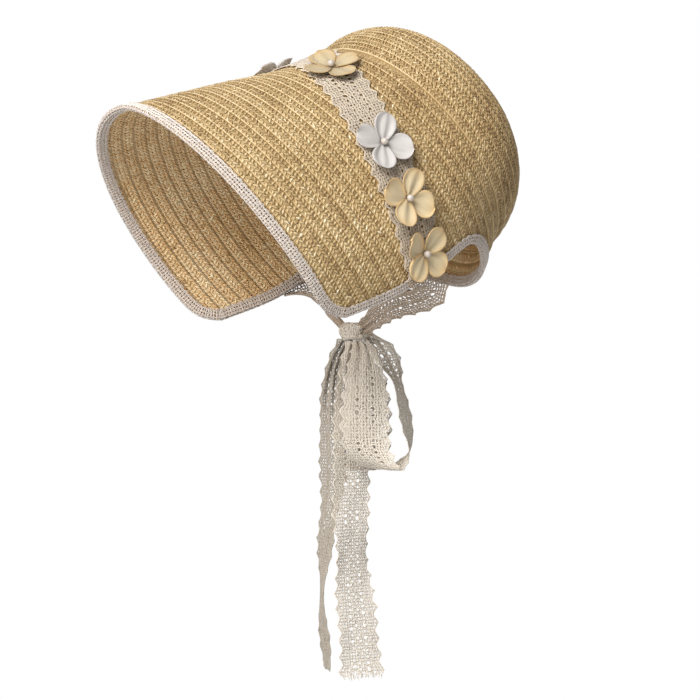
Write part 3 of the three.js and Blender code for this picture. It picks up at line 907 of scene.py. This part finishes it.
def splint_cloud(face, limits, angles, edges, straw, rng):
    """Places, directions, sizes and tints of the straw splints on one face of a part of the shell."""
    cloud = {key: [] for key in ("place", "lie", "out", "size", "tint")}
    inner = face["inner"]
    for lower, upper in zip(edges[:-1], edges[1:]):
        span = SPLINT_REACH * (upper - lower)
        fall = SPLINT_REACH * (ROW_BACK - ROW_FRONT)
        for stretch, _ in row_stretches(limits, angles, lower, upper):
            fine = np.linspace(stretch[0], stretch[-1], 8 * len(stretch))
            arc = arc_length(shell_point(np.full(fine.shape, (lower + upper) / 2), fine))
            count = max(round(arc[-1] / (straw.plait_step / MM)), LEAST_SPLINTS)
            knots = np.arange(0, count + RUN_STEP, RUN_STEP)
            run_tone = np.interp(np.arange(count), knots, rng.normal(0, RUN_SPREAD, len(knots)))
            for t, lane in face["lanes"]:
                shift = (0.5 if lane > 0 else 0.0) + rng.uniform(-PLACE_SPREAD, PLACE_SPREAD, count)
                angle = np.interp((np.arange(count) + shift) * arc[-1] / count, arc, fine)
                run = np.full(count, lower + t * (upper - lower))
                low, high = limits(angle)
                keep = (run > low + SPLINT_MARGIN) & (run < high - SPLINT_MARGIN)
                angle, run = angle[keep], run[keep]
                if not len(run):
                    continue
                lift = row_lift(t, inner)
                point = shell_frame(run, angle, lift)[0]
                ahead = shell_frame(run + span, angle, lift + fall)[0]
                behind = shell_frame(run - span, angle, lift - fall)[0]
                around = shell_frame(run, angle + 0.4, lift)[0] - shell_frame(run, angle - 0.4, lift)[0]
                back, around = unit(ahead - behind), unit(around)
                out = unit(np.cross(back, around)) * (-1 if inner else 1)
                slant = straw.splint_slant + rng.normal(0, SLANT_SPREAD, len(run))
                tip = rng.normal(TIP_LEAN * lane, TIP_LEAN, len(run))
                lie = (np.cos(slant)[:, None] * around + (lane * np.sin(slant))[:, None] * back
                       + tip[:, None] * out)
                size = rng.normal(1, SIZE_SPREAD, (len(run), 3))
                tint = face["tint"] + run_tone[keep] + rng.normal(0, TINT_SPREAD, len(run))
                tint += PALE_GAIN * (rng.random(len(run)) < PALE_SHARE)
                tint -= DARK_LOSS * (rng.random(len(run)) < DARK_SHARE)
                for key, values in zip(cloud, (point, lie, out, size, tint)):
                    cloud[key].append(values)
    return {key: np.concatenate(values) for key, values in cloud.items()}


def straw_piece(face, limits, angles, straw, tree, material, rng):
    """One face of the brim or crown: the splints, and on the outer face the row strips too."""
    edges = row_edges(straw.row_pitch / MM)
    cloud = splint_cloud(face, limits, angles, edges, straw, rng)
    points, faces, tints = np.empty((0, 3)), [], np.empty(0)
    if not face["inner"]:
        points, faces, tints = row_strips(limits, angles, edges)
        # The crown's painted shade darkens its row strips too
        tints = tints + face["tint"] - PLAIN_TINT
    base = len(points)
    pad = np.zeros((base, 3))
    name = face["part"] + ("_straw_inside" if face["inner"] else "_straw_outside")
    attributes = {key: np.concatenate([pad, cloud[key]]) for key in ("lie", "out", "size")}
    attributes["tint"] = np.concatenate([tints, np.clip(cloud["tint"], TINT_LEAST, 1)])
    attributes["splint"] = np.arange(base + len(cloud["tint"])) >= base
    item = mesh_object(name, np.concatenate([points, cloud["place"]]), faces=faces, attributes=attributes)
    return apply_nodes(item, tree, {
        "Splint Length": straw.splint_length, "Splint Width": straw.splint_width,
        "Splint Height": straw.splint_height, "Material": material})


class Cloth:
    """A strip of lace in its hung form: a grid of points and normals over its flat length and width."""

    def __init__(self, points, normals, width):
        self.points = points
        self.normals = normals
        self.along = arc_length(points[:, points.shape[1] // 2])
        self.length = self.along[-1]
        self.width = width

    def lay(self, flat):
        """Hung places of flat ones, given as along, across from the middle, and rise."""
        i = np.interp(flat[:, 0], self.along, np.arange(len(self.along)))
        j = (flat[:, 1] / self.width + 0.5) * (self.points.shape[1] - 1)
        row = np.clip(i.astype(int), 0, self.points.shape[0] - 2)
        cell = np.clip(j.astype(int), 0, self.points.shape[1] - 2)
        s, t = (i - row)[:, None], (j - cell)[:, None]

        def mixed(grid):
            first = grid[row, cell] * (1 - t) + grid[row, cell + 1] * t
            second = grid[row + 1, cell] * (1 - t) + grid[row + 1, cell + 1] * t
            return first * (1 - s) + second * s

        middle = self.points.shape[1] // 2
        onward = unit(self.points[-1, middle] - self.points[-3, middle])
        past = np.maximum(flat[:, 0:1] - self.length, 0) * onward
        return mixed(self.points) + unit(mixed(self.normals)) * flat[:, 2:3] + past


class Threads:
    """Threads of a piece of lace, gathered as chains of points."""

    def __init__(self, lace):
        self.lace = lace
        self.rng = np.random.default_rng(lace.seed)
        self.flat, self.thick, self.shade, self.edges, self.count = [], [], [], [], 0

    def add(self, along, across, rise=0.0, cord=False):
        along, across, rise = np.broadcast_arrays(along, across, rise)
        size = len(along)
        radius = self.lace.cord if cord else self.lace.thread
        self.flat.append(np.stack([along, across, rise], axis=1).astype(float))
        self.thick.append(np.full(size, radius * self.rng.uniform(*THREAD_SPREAD)))
        self.shade.append(np.full(size, self.rng.uniform(*SHADE_SPREAD)))
        first = np.arange(self.count, self.count + size - 1)
        self.edges.append(np.stack([first, first + 1], axis=1))
        self.count += size

    def settle(self, flat, length):
        """Takes the threads' reshaped flat places, stretched to the cloth's length."""
        flat[:, 0] *= length / (MESH_ALONG * round(length / MESH_ALONG))
        self.flat = [flat]
        return self

    def piece(self, name, cloth, tree, material, mirror=False):
        places = cloth.lay(np.concatenate(self.flat))
        if mirror:
            places = places * np.array([-1, 1, 1])
        item = mesh_object(name, places, edges=np.concatenate(self.edges), attributes={
            "thick": np.concatenate(self.thick), "shade": np.concatenate(self.shade)})
        return apply_nodes(item, tree, {"Thread Sides": self.lace.sides, "Material": material})


def parted(flat, sizes):
    """Moves threads aside round a ribbon's eyelets, which differ in size."""
    along, across = flat[:, 0], flat[:, 1]
    for eyelet in EYELETS:
        for side in (-1, 1):
            start = eyelet["start"] * side
            number = np.round((along - start) / EYELET_STEP)
            radius = eyelet["radius"] * sizes[(number.astype(int) * 2 + side) % len(sizes)]
            middle = start + number * EYELET_STEP
            off_along, off_across = along - middle, across - side * eyelet["across"]
            far = np.maximum(np.hypot(off_along, off_across), 0.01)
            push = (far ** EYELET_SHARPNESS + radius ** EYELET_SHARPNESS) ** (1 / EYELET_SHARPNESS) / far
            along, across = middle + off_along * push, side * eyelet["across"] + off_across * push
    return np.stack([along, across, flat[:, 2]], axis=1)


def scalloped(flat):
    """Draws the outer part of a ribbon out into points."""
    peak = np.abs(2 * np.mod(flat[:, 0] / SCALLOP_STEP, 1) - 1)
    share = np.clip((np.abs(flat[:, 1]) - SCALLOP_FROM) / (RIBBON_HALF - SCALLOP_FROM), 0, 1)
    reach = share * (peak ** SCALLOP_POINT * (SCALLOP_OUT + SCALLOP_IN) - SCALLOP_IN)
    return flat + np.sign(flat[:, 1:2]) * reach[:, None] * np.array([0, 1, 0])


def swayed(flat, rng):
    """The slight unevenness of hand-drawn thread."""
    shifts = rng.uniform(0, 2 * np.pi, 2)
    along, across = (THREAD_SWAY * np.sin(flat[:, 0] * by_along + flat[:, 1] * by_across + shift)
                     for (by_along, by_across), shift in zip(SWAY_RATES, shifts))
    return flat + np.stack([along, across, np.zeros(len(flat))], axis=1)


def mesh_threads(threads, rows, columns, fine_rows, fine_columns, fray=0.0):
    """Pairs of lengthwise threads crossed by pairs of crosswise ones."""
    for k, strand in enumerate(columns):
        fine = np.isclose(np.abs(strand), fine_columns).any()
        line = fine_rows if fine else rows
        for side in (-1, 1):
            lift = PAIR_RISE * side * np.where(np.arange(len(line)) // (2 if fine else 1) % 2, 1, -1)
            spread = line.copy()
            spread[-1] += threads.rng.uniform(*FRAY_SPREAD) * fray
            threads.add(spread, strand + side * PAIR_HALF, lift * (1 if k % 2 else -1))
    middles = [strand + sign * MESH_ACROSS / 2 for strand in fine_columns for sign in (-1, 1)]
    across = np.unique(np.round(np.concatenate([columns, middles, -np.array(middles)]), 3))
    across = across[np.abs(across) <= np.max(columns) + 0.01]
    for place in rows[:-1] + MESH_ALONG * CROSS_SHIFT:
        for side in (-1, 1):
            rise = PAIR_RISE * side * np.cos(across * np.pi / MESH_ACROSS)
            threads.add(place + side * PAIR_HALF, across, rise)


def ribbon_threads(length, lace, frayed=False):
    """The ribbon's lace: a close mesh with rows of eyelets and an edge drawn out into points."""
    threads = Threads(lace)
    count = round(length / MESH_ALONG)
    rows = np.arange(count + 1) * MESH_ALONG
    fine_rows = np.arange(2 * count + 1) * MESH_ALONG / 2
    columns = np.arange(-MESH_SIDE_COLUMNS, MESH_SIDE_COLUMNS + 1) * MESH_ACROSS
    fine_columns = np.arange(MESH_FINE_COLUMNS) * MESH_ACROSS
    mesh_threads(threads, rows, columns, fine_rows, fine_columns, FRAY if frayed else 0.0)
    for side in (-1, 1):
        threads.add(rows, side * RIBBON_HALF * EDGE_CORD, cord=True)
    for across in FRAY_ENDS if frayed else ():
        reach, lean = threads.rng.uniform(*FRAY_REACH), threads.rng.uniform(-FRAY_LEAN, FRAY_LEAN)
        threads.add(rows[-1] + reach * np.array([-0.6, 0.35, 1.0]), across + lean * np.array([0, 0.4, 1]),
                    threads.rng.uniform(-FRAY_RISE, FRAY_RISE) * np.array([0, 0.5, 1]))
    flat = parted(np.concatenate(threads.flat), threads.rng.uniform(*EYELET_SIZES))
    return threads.settle(swayed(scalloped(flat), threads.rng), length)


def edging_threads(length, width, lace):
    """The folded edging's lace: close mesh between picot hems."""
    threads = Threads(lace)
    count = round(length / MESH_ALONG)
    rows = np.arange(count + 1) * MESH_ALONG
    half = width / 2 - EDGING_HEM
    mesh_threads(threads, rows, np.linspace(-half, half, EDGING_COLUMNS), rows, np.empty(0))
    hem = np.arange(2 * count + 1) * MESH_ALONG / 2
    picot = PICOT_FROM + PICOT_OUT * np.abs(np.sin(hem * np.pi / (2 * MESH_ALONG)))
    for side in (-1, 1):
        threads.add(hem, side * (half + picot), PICOT_RISE)
    return threads.settle(swayed(np.concatenate(threads.flat), threads.rng), length)


def edging_cloth(points, normals):
    """Lace folded over an edge of the straw, from its outer hem round the edge to its inner hem."""
    away = unit(np.cross(normals, np.gradient(points, axis=0)))
    fold = np.array(EDGING_FOLD, float)
    arc = arc_length(fold)
    out, up = (np.interp(np.linspace(0, arc[-1], FOLD_COLUMNS), arc, fold[:, k]) for k in range(2))
    grid = points[:, None] + out[None, :, None] * away[:, None] + up[None, :, None] * normals[:, None]
    lean = unit(np.stack([np.gradient(out), np.gradient(up)], axis=1))
    faces = -lean[None, :, 1, None] * away[:, None] + lean[None, :, 0, None] * normals[:, None]
    return Cloth(grid, faces, arc[-1])


def even(*lines):
    """Even steps along the first line, and every line's values there."""
    arc = arc_length(lines[0])
    at = np.linspace(0, arc[-1], round(arc[-1] / CLOTH_STEP) + 1)
    return at, *(np.stack([np.interp(at, arc, values) for values in line.T], axis=1) for line in lines)


def face_line():
    """Points and normals along the brim's face edge, from corner to corner."""
    corner = np.linspace(CORNER_SPLIT, FACE_CORNER, 40)[:-1]
    half = np.concatenate([corner, np.linspace(FACE_CORNER, 90, 160)])
    angles = np.concatenate([half, 180 - half[-2::-1]])
    points, normals, _, _ = shell_frame(run_of(face_along(angles)), angles)
    _, points, normals = even(points, normals)
    return points, unit(normals)


def neck_line():
    """Points and normals along both cheek edges and the nape between them."""
    nape = np.linspace(-90, NAPE_CORNER, 90)[:-1]
    nape = np.concatenate([nape, np.linspace(NAPE_CORNER, CHEEK_ANGLE, 60)])
    along = column(NECK_EDGE, "angle", "along", nape)
    cheek = np.linspace(along[-1], FACE_EDGE[0]["along"], 50)[1:]
    corner = np.linspace(CHEEK_ANGLE, CORNER_SPLIT - 0.05, 5)[1:]
    angles = np.concatenate([nape, np.full(cheek.shape, CHEEK_ANGLE), corner])
    along = np.concatenate([along, cheek, face_along(corner)])
    points, normals, _, _ = shell_frame(run_of(along), angles)
    flip = np.array([-1, 1, 1])
    points, normals = (np.concatenate([side[:0:-1] * flip, side]) for side in (points, normals))
    _, points, normals = even(points, normals)
    return points, unit(normals)


def band_cloth():
    """The ribbon over the shell, from cheek to cheek."""
    angles = np.linspace(BAND_END, 180 - BAND_END, BAND_ROWS)
    across = np.linspace(-GRID_EDGE, GRID_EDGE, BAND_COLUMNS)
    lift = (RIBBON_LIFT + RIBBON_WALL / 2 + edge_rise(angles))[:, None]
    points, normals, _, _ = band_frame(angles[:, None], across[None], lift)
    return Cloth(points, normals, 2 * GRID_EDGE * RIBBON_HALF)


def smooth_line(knots, steps=40):
    """A centripetal curve through knots, with the place between the knots at each of its points."""
    knots = np.asarray(knots, float)
    ends = np.concatenate([[2 * knots[0] - knots[1]], knots, [2 * knots[-1] - knots[-2]]])
    points, places = [], []
    for i in range(len(knots) - 1):
        a, b, c, d = ends[i:i + 4]
        first, span, last = (math.sqrt(np.linalg.norm(q - p)) for p, q in ((a, b), (b, c), (c, d)))
        start = ((b - a) / first - (c - a) / (first + span) + (c - b) / span) * span
        end = ((c - b) / span - (d - b) / (span + last) + (d - c) / last) * span
        t = np.linspace(0, 1, steps, endpoint=False)
        if i == len(knots) - 2:
            t = np.append(t, 1.0)
        w = t[:, None]
        points.append(b + w * start + w ** 2 * (3 * (c - b) - 2 * start - end)
                      + w ** 3 * (2 * (b - c) + start + end))
        places.append(i + t)
    return np.concatenate(points), np.concatenate(places)


def ribbon_cloth(knots, wave=0.0):
    """A hanging ribbon from its table: narrowed places are gathered in pleats."""
    rows = table(RIBBON_COLUMNS, *((i, *row) for i, row in enumerate(knots)))
    line, place = smooth_line([row[:3] for row in knots])
    at, line, place = even(line, place[:, None])
    half, turn, tip = (column(rows, "place", key, place[:, 0]) for key in ("half", "turn", "tip"))
    turn, tip = np.radians(turn), np.radians(tip)
    side = np.stack([np.cos(tip) * np.sin(turn), np.cos(tip) * np.cos(turn), np.sin(tip)], axis=1)
    face = unit(np.cross(np.gradient(line, axis=0), side))
    across = np.linspace(-GRID_EDGE, GRID_EDGE, RIBBON_COLUMN_COUNT)
    pleat = PLEAT_DEPTH * np.clip(1 - half / RIBBON_HALF, 0, 1)
    gather = across * PLEAT_RATE + PLEAT_UNEVEN * np.sin(across * PLEAT_BEAT) + PLEAT_SHIFT
    fold = pleat[:, None] * np.sin(gather + at[:, None] * PLEAT_DRIFT)
    fold += wave * np.sin(at[:, None] * WAVE_ALONG + across * WAVE_ACROSS) * across ** 2
    points = line[:, None] + across[None, :, None] * half[:, None, None] * side[:, None]
    points = points + fold[..., None] * face[:, None]
    return Cloth(points, np.broadcast_to(face[:, None], points.shape), 2 * GRID_EDGE * RIBBON_HALF)


def tie_table():
    """The tie leaves the shell where the ribbon over it ends, and runs in under the chin."""
    lift = RIBBON_LIFT + RISE_LIFT + RIBBON_WALL / 2
    end, normal, _, _ = band_frame(BAND_END, 0.0, lift)
    onward = unit(end - band_frame(BAND_END + 1, 0.0, lift)[0])
    width = unit(band_frame(BAND_END, 1.0, lift)[0] - band_frame(BAND_END, -1.0, lift)[0])
    turn = math.degrees(math.atan2(width[0], width[1]))
    tip = math.degrees(math.asin(width[2]))
    start = [(*(end + onward * far + normal * out), RIBBON_HALF, turn, tip) for far, out in TIE_START]
    return start + TIE


def finish_mesh(item, material):
    """Smooth faces that point outwards, and a finish."""
    shape = bmesh.new()
    shape.from_mesh(item.data)
    bmesh.ops.remove_doubles(shape, verts=shape.verts, dist=1e-6)
    bmesh.ops.recalc_face_normals(shape, faces=shape.faces)
    shape.to_mesh(item.data)
    shape.free()
    item.data.shade_smooth()
    item.data.materials.append(material)
    return item


def petal_outline(r):
    """A petal's half width from its root to its tip, as a share of its widest."""
    neck = np.clip(r / PETAL_WIDEST, 0, 1)
    swell = PETAL_NECK + (1 - PETAL_NECK) * neck ** 1.25 * (2.25 - 1.25 * neck)
    girth = np.where(r < PETAL_WIDEST, swell, 1.0)
    tip = np.maximum(r - PETAL_WIDEST, 0) / (1 - PETAL_WIDEST)
    return girth * np.sqrt(np.clip(1 - tip ** 2.3, 0.0004, 1))


def flower_piece(name, flower, trim, material, rng):
    """Four creased and cupped cloth petals, every other one laid over its neighbours."""
    point, normal, _, around = band_frame(flower["angle"], 0.0, flower["lift"])
    up = unit(around)
    side = unit(np.cross(up, normal))
    radius, wide = trim.radius / MM, trim.petal_half / MM
    rows, columns = PETAL_GRID
    reach = PETAL_ROOT + (1 - PETAL_ROOT) * np.sin(np.linspace(0, 1, rows) * np.pi / 2) ** 0.9
    r, w = np.meshgrid(reach, np.linspace(-1, 1, columns), indexing="ij")
    arch = np.sin(np.pi * np.minimum(r, 1))
    index = np.arange(rows * columns).reshape(rows, columns)
    border = np.concatenate([index[:, 0], index[-1, 1:], index[-2::-1, -1], index[0, -2:0:-1]])
    points, faces, coords = [], [], []
    for petal in range(PETALS):
        bearing = math.radians(flower["spin"] + 90 * petal + rng.uniform(-PETAL_TURN, PETAL_TURN))
        aside = w * petal_outline(r) * wide * rng.uniform(*PETAL_WIDTHS)
        forth = r * radius * rng.uniform(*PETAL_LENGTHS)
        ridges = rng.uniform(*CREASE_RATES)
        crease = np.cos(w * ridges + rng.uniform(-1, 1)) * np.sin(np.pi * np.minimum(r * 1.02, 1)) ** 0.7
        curl = rng.uniform(-PETAL_CURL, PETAL_CURL) * r ** 3
        twist = rng.uniform(-PETAL_TWIST, PETAL_TWIST) * w * r ** 2
        hollow = rng.uniform(*PETAL_HOLLOWS) * w ** 2 * arch ** 0.8
        rise = FLOWER_CUP * (forth / radius) ** 2 + CREASE_HEIGHT * crease + curl + twist + hollow
        rise = np.maximum(rise + PETAL_OVERLAP * (petal % 2), PETAL_LEAST)
        high = len(points)
        low = high + rows * columns
        for skin in (FLOWER_WALL * PETAL_SKIN * (1 - SKIN_TAPER * r ** 4), 0.0):
            place = (point + (forth * math.cos(bearing) - aside * math.sin(bearing))[..., None] * up
                     + (forth * math.sin(bearing) + aside * math.cos(bearing))[..., None] * side
                     + (rise + skin)[..., None] * normal)
            points.extend(place.reshape(-1, 3))
            coords.extend(np.stack([r, w, np.full(r.shape, petal + 0.5)], axis=-1).reshape(-1, 3))
        faces += [face[::-1] for face in grid_faces(rows, columns, high)] + grid_faces(rows, columns, low)
        faces += [(high + b, high + a, low + a, low + b) for a, b in zip(border, np.roll(border, -1))]
    item = mesh_object(name, np.array(points), faces=faces, attributes={"petal": np.array(coords)})
    return finish_mesh(item, material)


def pearl_piece(name, flower, trim, material):
    """A pearl on its flower's middle, dimpled where it is drilled."""
    radius = trim.pearl / MM
    lift = flower["lift"] + FLOWER_WALL + PEARL_GAP + radius
    point, normal, _, around = band_frame(flower["angle"], 0.0, lift)
    up = unit(around)
    side = np.cross(up, normal)
    hole = [(out, radius * high) for out, high in PEARL_DIMPLE]
    bend = np.radians(np.linspace(*PEARL_BENDS))
    profile = hole + [(radius * math.sin(b), radius * math.cos(b)) for b in bend]
    profile += [(out, -high) for out, high in reversed(hole)]
    points = []
    for out, high in profile:
        for turn in np.arange(PEARL_STEPS) * 2 * math.pi / PEARL_STEPS:
            points.append(point + out * (math.cos(turn) * up + math.sin(turn) * side) + high * normal)
    item = mesh_object(name, np.array(points), faces=grid_faces(len(profile), PEARL_STEPS, closed=True))
    return finish_mesh(item, material)


def knot_grid(swell):
    """Points of the pleated knot: its folds run with the ties."""
    rings, steps = KNOT_GRID
    lean, turn = np.meshgrid(np.linspace(-np.pi / 2, np.pi / 2, rings),
                             np.linspace(0, 2 * np.pi, steps, endpoint=False), indexing="ij")
    way = np.stack([np.sin(lean), np.cos(lean) * np.cos(turn), np.cos(lean) * np.sin(turn)], axis=-1)
    size = np.sum(np.abs(way) ** KNOT_SQUARENESS, axis=-1) ** (-1 / KNOT_SQUARENESS)
    folds = np.sin(KNOT_FOLDS * turn + KNOT_TWIST * lean + KNOT_SHIFT)
    ripple = 1 + KNOT_PLEATS * folds * np.cos(lean) ** 0.5
    pinch = 1 - KNOT_PINCH * np.cos(lean) ** 6
    return KNOT_CENTRE + way * (size * ripple * pinch * swell)[..., None] * KNOT_HALF


def knot_core(material):
    """The filled middle of the knot, under its lace, in the lowest thread tone as painted shade inside the
    knot.
    """
    points = knot_grid(KNOT_CORE).reshape(-1, 3)
    core = mesh_object("bow_knot_core", points, faces=grid_faces(*KNOT_GRID, closed=True),
                       attributes={"shade": np.full(len(points), CORE_PAINTED_SHADE)})
    return finish_mesh(core, material)


def knot_cloth():
    """The lace wound round the knot, drawn together at its two ends."""
    grid = knot_grid(1.0)[2:-2].swapaxes(0, 1)
    grid = np.concatenate([grid, grid[:1]])
    return Cloth(grid, unit(grid - KNOT_CENTRE), 2 * GRID_EDGE * RIBBON_HALF)


def white_to_camera(graph, lit, white):
    """Mixes two shaders: the camera sees the white one, and all other light the lit one."""
    seen = graph.node("ShaderNodeLightPath", output="Is Camera Ray")
    return graph.node("ShaderNodeMixShader", inputs={0: seen, 1: lit, 2: white})


def aimed(name, data, place, target):
    """A light or camera at a place, turned towards a target."""
    item = bpy.data.objects.new(name, data)
    item.location = place
    item.rotation_euler = (Vector(target) - Vector(place)).to_track_quat("-Z", "Y").to_euler()
    bpy.context.collection.objects.link(item)
    return item


class BONNET_OT_straw(bpy.types.Operator):
    """Plait the straw brim and crown"""
    bl_idname = "bonnet.straw"
    bl_label = "Straw Brim and Crown"

    def execute(self, context):
        straw = context.scene.bonnet.straw
        tree = plait_tree()
        golden = straw_finish("golden_straw", straw)
        # The inner faces take a warmed copy of the straw finish: painted bounce light
        bounce_lit = straw_finish("warm_straw", straw, PAINTED_BOUNCE_WARMTH)
        rng = np.random.default_rng(straw.seed)
        brim = np.linspace(CHEEK_ANGLE, 180 - CHEEK_ANGLE, BRIM_STEPS)
        near_neck = np.linspace(NEAR_NECK, CHEEK_ANGLE, NECK_STEPS)
        crown = np.concatenate([np.linspace(-90, 270, CROWN_STEPS), near_neck, 180 - near_neck])
        shells = {"brim": (brim_limits, brim), "crown": (crown_limits, np.unique(np.round(crown, 4)))}
        for face in STRAW_FACES:
            finish = bounce_lit if face["inner"] else golden
            item = straw_piece(face, *shells[face["part"]], straw, tree, finish, rng)
            kept(item, "straw", *([] if face["inner"] else [face["part"]]))
        return {"FINISHED"}


class BONNET_OT_edging(bpy.types.Operator):
    """Fold lace over the face edge and the neck edge"""
    bl_idname = "bonnet.edging"
    bl_label = "Lace Edging"

    def execute(self, context):
        lace = context.scene.bonnet.lace
        tree, material = thread_tree(), lace_finish("edging_lace", lace.edging)
        for node, line in (("front_binding", face_line()), ("neck_binding", neck_line())):
            cloth = edging_cloth(*line)
            threads = edging_threads(cloth.length, cloth.width, lace)
            item = threads.piece(node + "_lace", cloth, tree, material)
            kept(item, "edging", node)
        return {"FINISHED"}


class BONNET_OT_ribbon(bpy.types.Operator):
    """Lay the lace band over the shell and tie the bow"""
    bl_idname = "bonnet.ribbon"
    bl_label = "Lace Band and Bow"

    def execute(self, context):
        lace = context.scene.bonnet.lace
        tree, material = thread_tree(), lace_finish("ribbon_lace", lace.ribbon)
        # The ties and one tail take darker copies of the lace as painted shade; the band a darker tone
        # over the straw
        finishes = {node: lace_finish(f"{node}_lace", shaded(lace.ribbon, shade))
                    for node, shade in RIBBON_TONE_AND_PAINTED_SHADE.items()}

        def lay(node, cloth, mirror=False, frayed=False):
            threads = ribbon_threads(cloth.length, lace, frayed)
            item = threads.piece(node + "_lace", cloth, tree, finishes.get(node, material), mirror)
            kept(item, "lace", node)

        tie = ribbon_cloth(tie_table())
        lay("lace_band", band_cloth())
        lay("tie_left", tie)
        lay("tie_right", tie, mirror=True)
        lay("bow_loop_left", ribbon_cloth(LEFT_LOOP, LOOP_WAVE))
        lay("bow_loop_right", ribbon_cloth(RIGHT_LOOP, LOOP_WAVE))
        lay("bow_tail_left", ribbon_cloth(LEFT_TAIL, TAIL_WAVE), frayed=True)
        lay("bow_tail_right", ribbon_cloth(RIGHT_TAIL, TAIL_WAVE), frayed=True)
        kept(knot_core(material), "lace")
        lay("bow_knot", knot_cloth())
        return {"FINISHED"}


class BONNET_OT_flowers(bpy.types.Operator):
    """Set the cloth flowers along the band"""
    bl_idname = "bonnet.flowers"
    bl_label = "Cloth Flowers"

    def execute(self, context):
        trim = context.scene.bonnet.trim
        rng = np.random.default_rng(trim.seed)
        colours = dict(cream=(trim.cream, CREAM_RIM), white=(trim.white, WHITE_RIM))
        for number, flower in enumerate(FLOWERS, 1):
            slot = flower["tint"] + "_petal"
            # A flower's colours times its share of painted light or shade
            colour, rim = (shaded(tone, flower["dye"]) for tone in colours[flower["tint"]])
            material = petal_finish(f"{slot}_{number}", colour, rim)
            item = flower_piece(f"cloth_flower_{number}", flower, trim, material, rng)
            kept(item, slot, f"flower_{number}")
        return {"FINISHED"}


class BONNET_OT_pearls(bpy.types.Operator):
    """Sew a pearl on every flower"""
    bl_idname = "bonnet.pearls"
    bl_label = "Pearls"

    def execute(self, context):
        trim = context.scene.bonnet.trim
        material = pearl_finish(trim.nacre)
        for number, flower in enumerate(FLOWERS, 1):
            item = pearl_piece(f"sewn_pearl_{number}", flower, trim, material)
            kept(item, "pearl", f"pearl_{number}")
        return {"FINISHED"}


class BONNET_OT_stage(bpy.types.Operator):
    """Set the floor, the lights and the camera"""
    bl_idname = "bonnet.stage"
    bl_label = "Floor, Lights and Camera"

    def execute(self, context):
        studio = context.scene.bonnet.studio
        corners = ((-1, -1), (1, -1), (1, 1), (-1, 1))
        floor = mesh_object("floor", [(x * FLOOR_HALF, y * FLOOR_HALF, FLOOR_HEIGHT) for x, y in corners],
                            faces=[(0, 1, 2, 3)])
        finish = Finish("pale_floor")
        grey = finish.ramp(finish.noise(finish.place(), 1.5), FLOOR_GREYS)
        matt = finish.node("ShaderNodeBsdfPrincipled", inputs={"Base Color": grey, "Roughness": 0.9})
        glow = finish.node("ShaderNodeEmission", inputs={"Color": WHITE, "Strength": 1.0})
        floor.data.materials.append(finish.output(white_to_camera(finish, matt, glow)))
        world = bpy.data.worlds.new("white_surround")
        world.use_nodes = True
        world.node_tree.nodes.clear()
        surround = Graph(world.node_tree)
        lit, white = (surround.node("ShaderNodeBackground", inputs={"Color": WHITE, "Strength": strength})
                      for strength in (studio.sky, 1.0))
        both = white_to_camera(surround, lit, white)
        surround.node("ShaderNodeOutputWorld", inputs={"Surface": both}, output=None)
        context.scene.world = world
        context.scene.view_settings.view_transform = "Standard"
        for lamp in LIGHTS:
            light = bpy.data.lights.new(lamp["name"] + "_light", "AREA")
            light.size = lamp["size"]
            light.energy = getattr(studio, lamp["name"])
            aimed(light.name, light, lamp["place"], LIGHT_TARGET)
        camera = bpy.data.cameras.new("camera")
        camera.lens = CAMERA_LENS
        context.scene.camera = aimed("camera", camera, CAMERA_PLACE, CAMERA_TARGET)
        return {"FINISHED"}


class BONNET_PT_panel(bpy.types.Panel):
    """The bonnet's settings and steps in the sidebar"""
    bl_idname = "BONNET_PT_panel"
    bl_label = "Straw Poke Bonnet"
    bl_space_type = "VIEW_3D"
    bl_region_type = "UI"
    bl_category = "Bonnet"

    def draw(self, context):
        bonnet = context.scene.bonnet
        for group in (bonnet.straw, bonnet.lace, bonnet.trim, bonnet.studio):
            box = self.layout.box()
            for name in group.__annotations__:
                box.prop(group, name)
        for step in STEPS:
            self.layout.operator(step.bl_idname)


STEPS = (BONNET_OT_stage, BONNET_OT_straw, BONNET_OT_edging, BONNET_OT_ribbon, BONNET_OT_flowers,
         BONNET_OT_pearls)
CLASSES = (Straw, Lace, Trim, Studio, Bonnet, *STEPS, BONNET_PT_panel)


def register():
    for item in CLASSES:
        bpy.utils.register_class(item)
    bpy.types.Scene.bonnet = PointerProperty(type=Bonnet)


def unregister():
    del bpy.types.Scene.bonnet
    for item in reversed(CLASSES):
        bpy.utils.unregister_class(item)


def main():
    register()
    for step in STEPS:
        group, name = step.bl_idname.split(".")
        getattr(getattr(bpy.ops, group), name)()


if __name__ == "__main__":
    main()
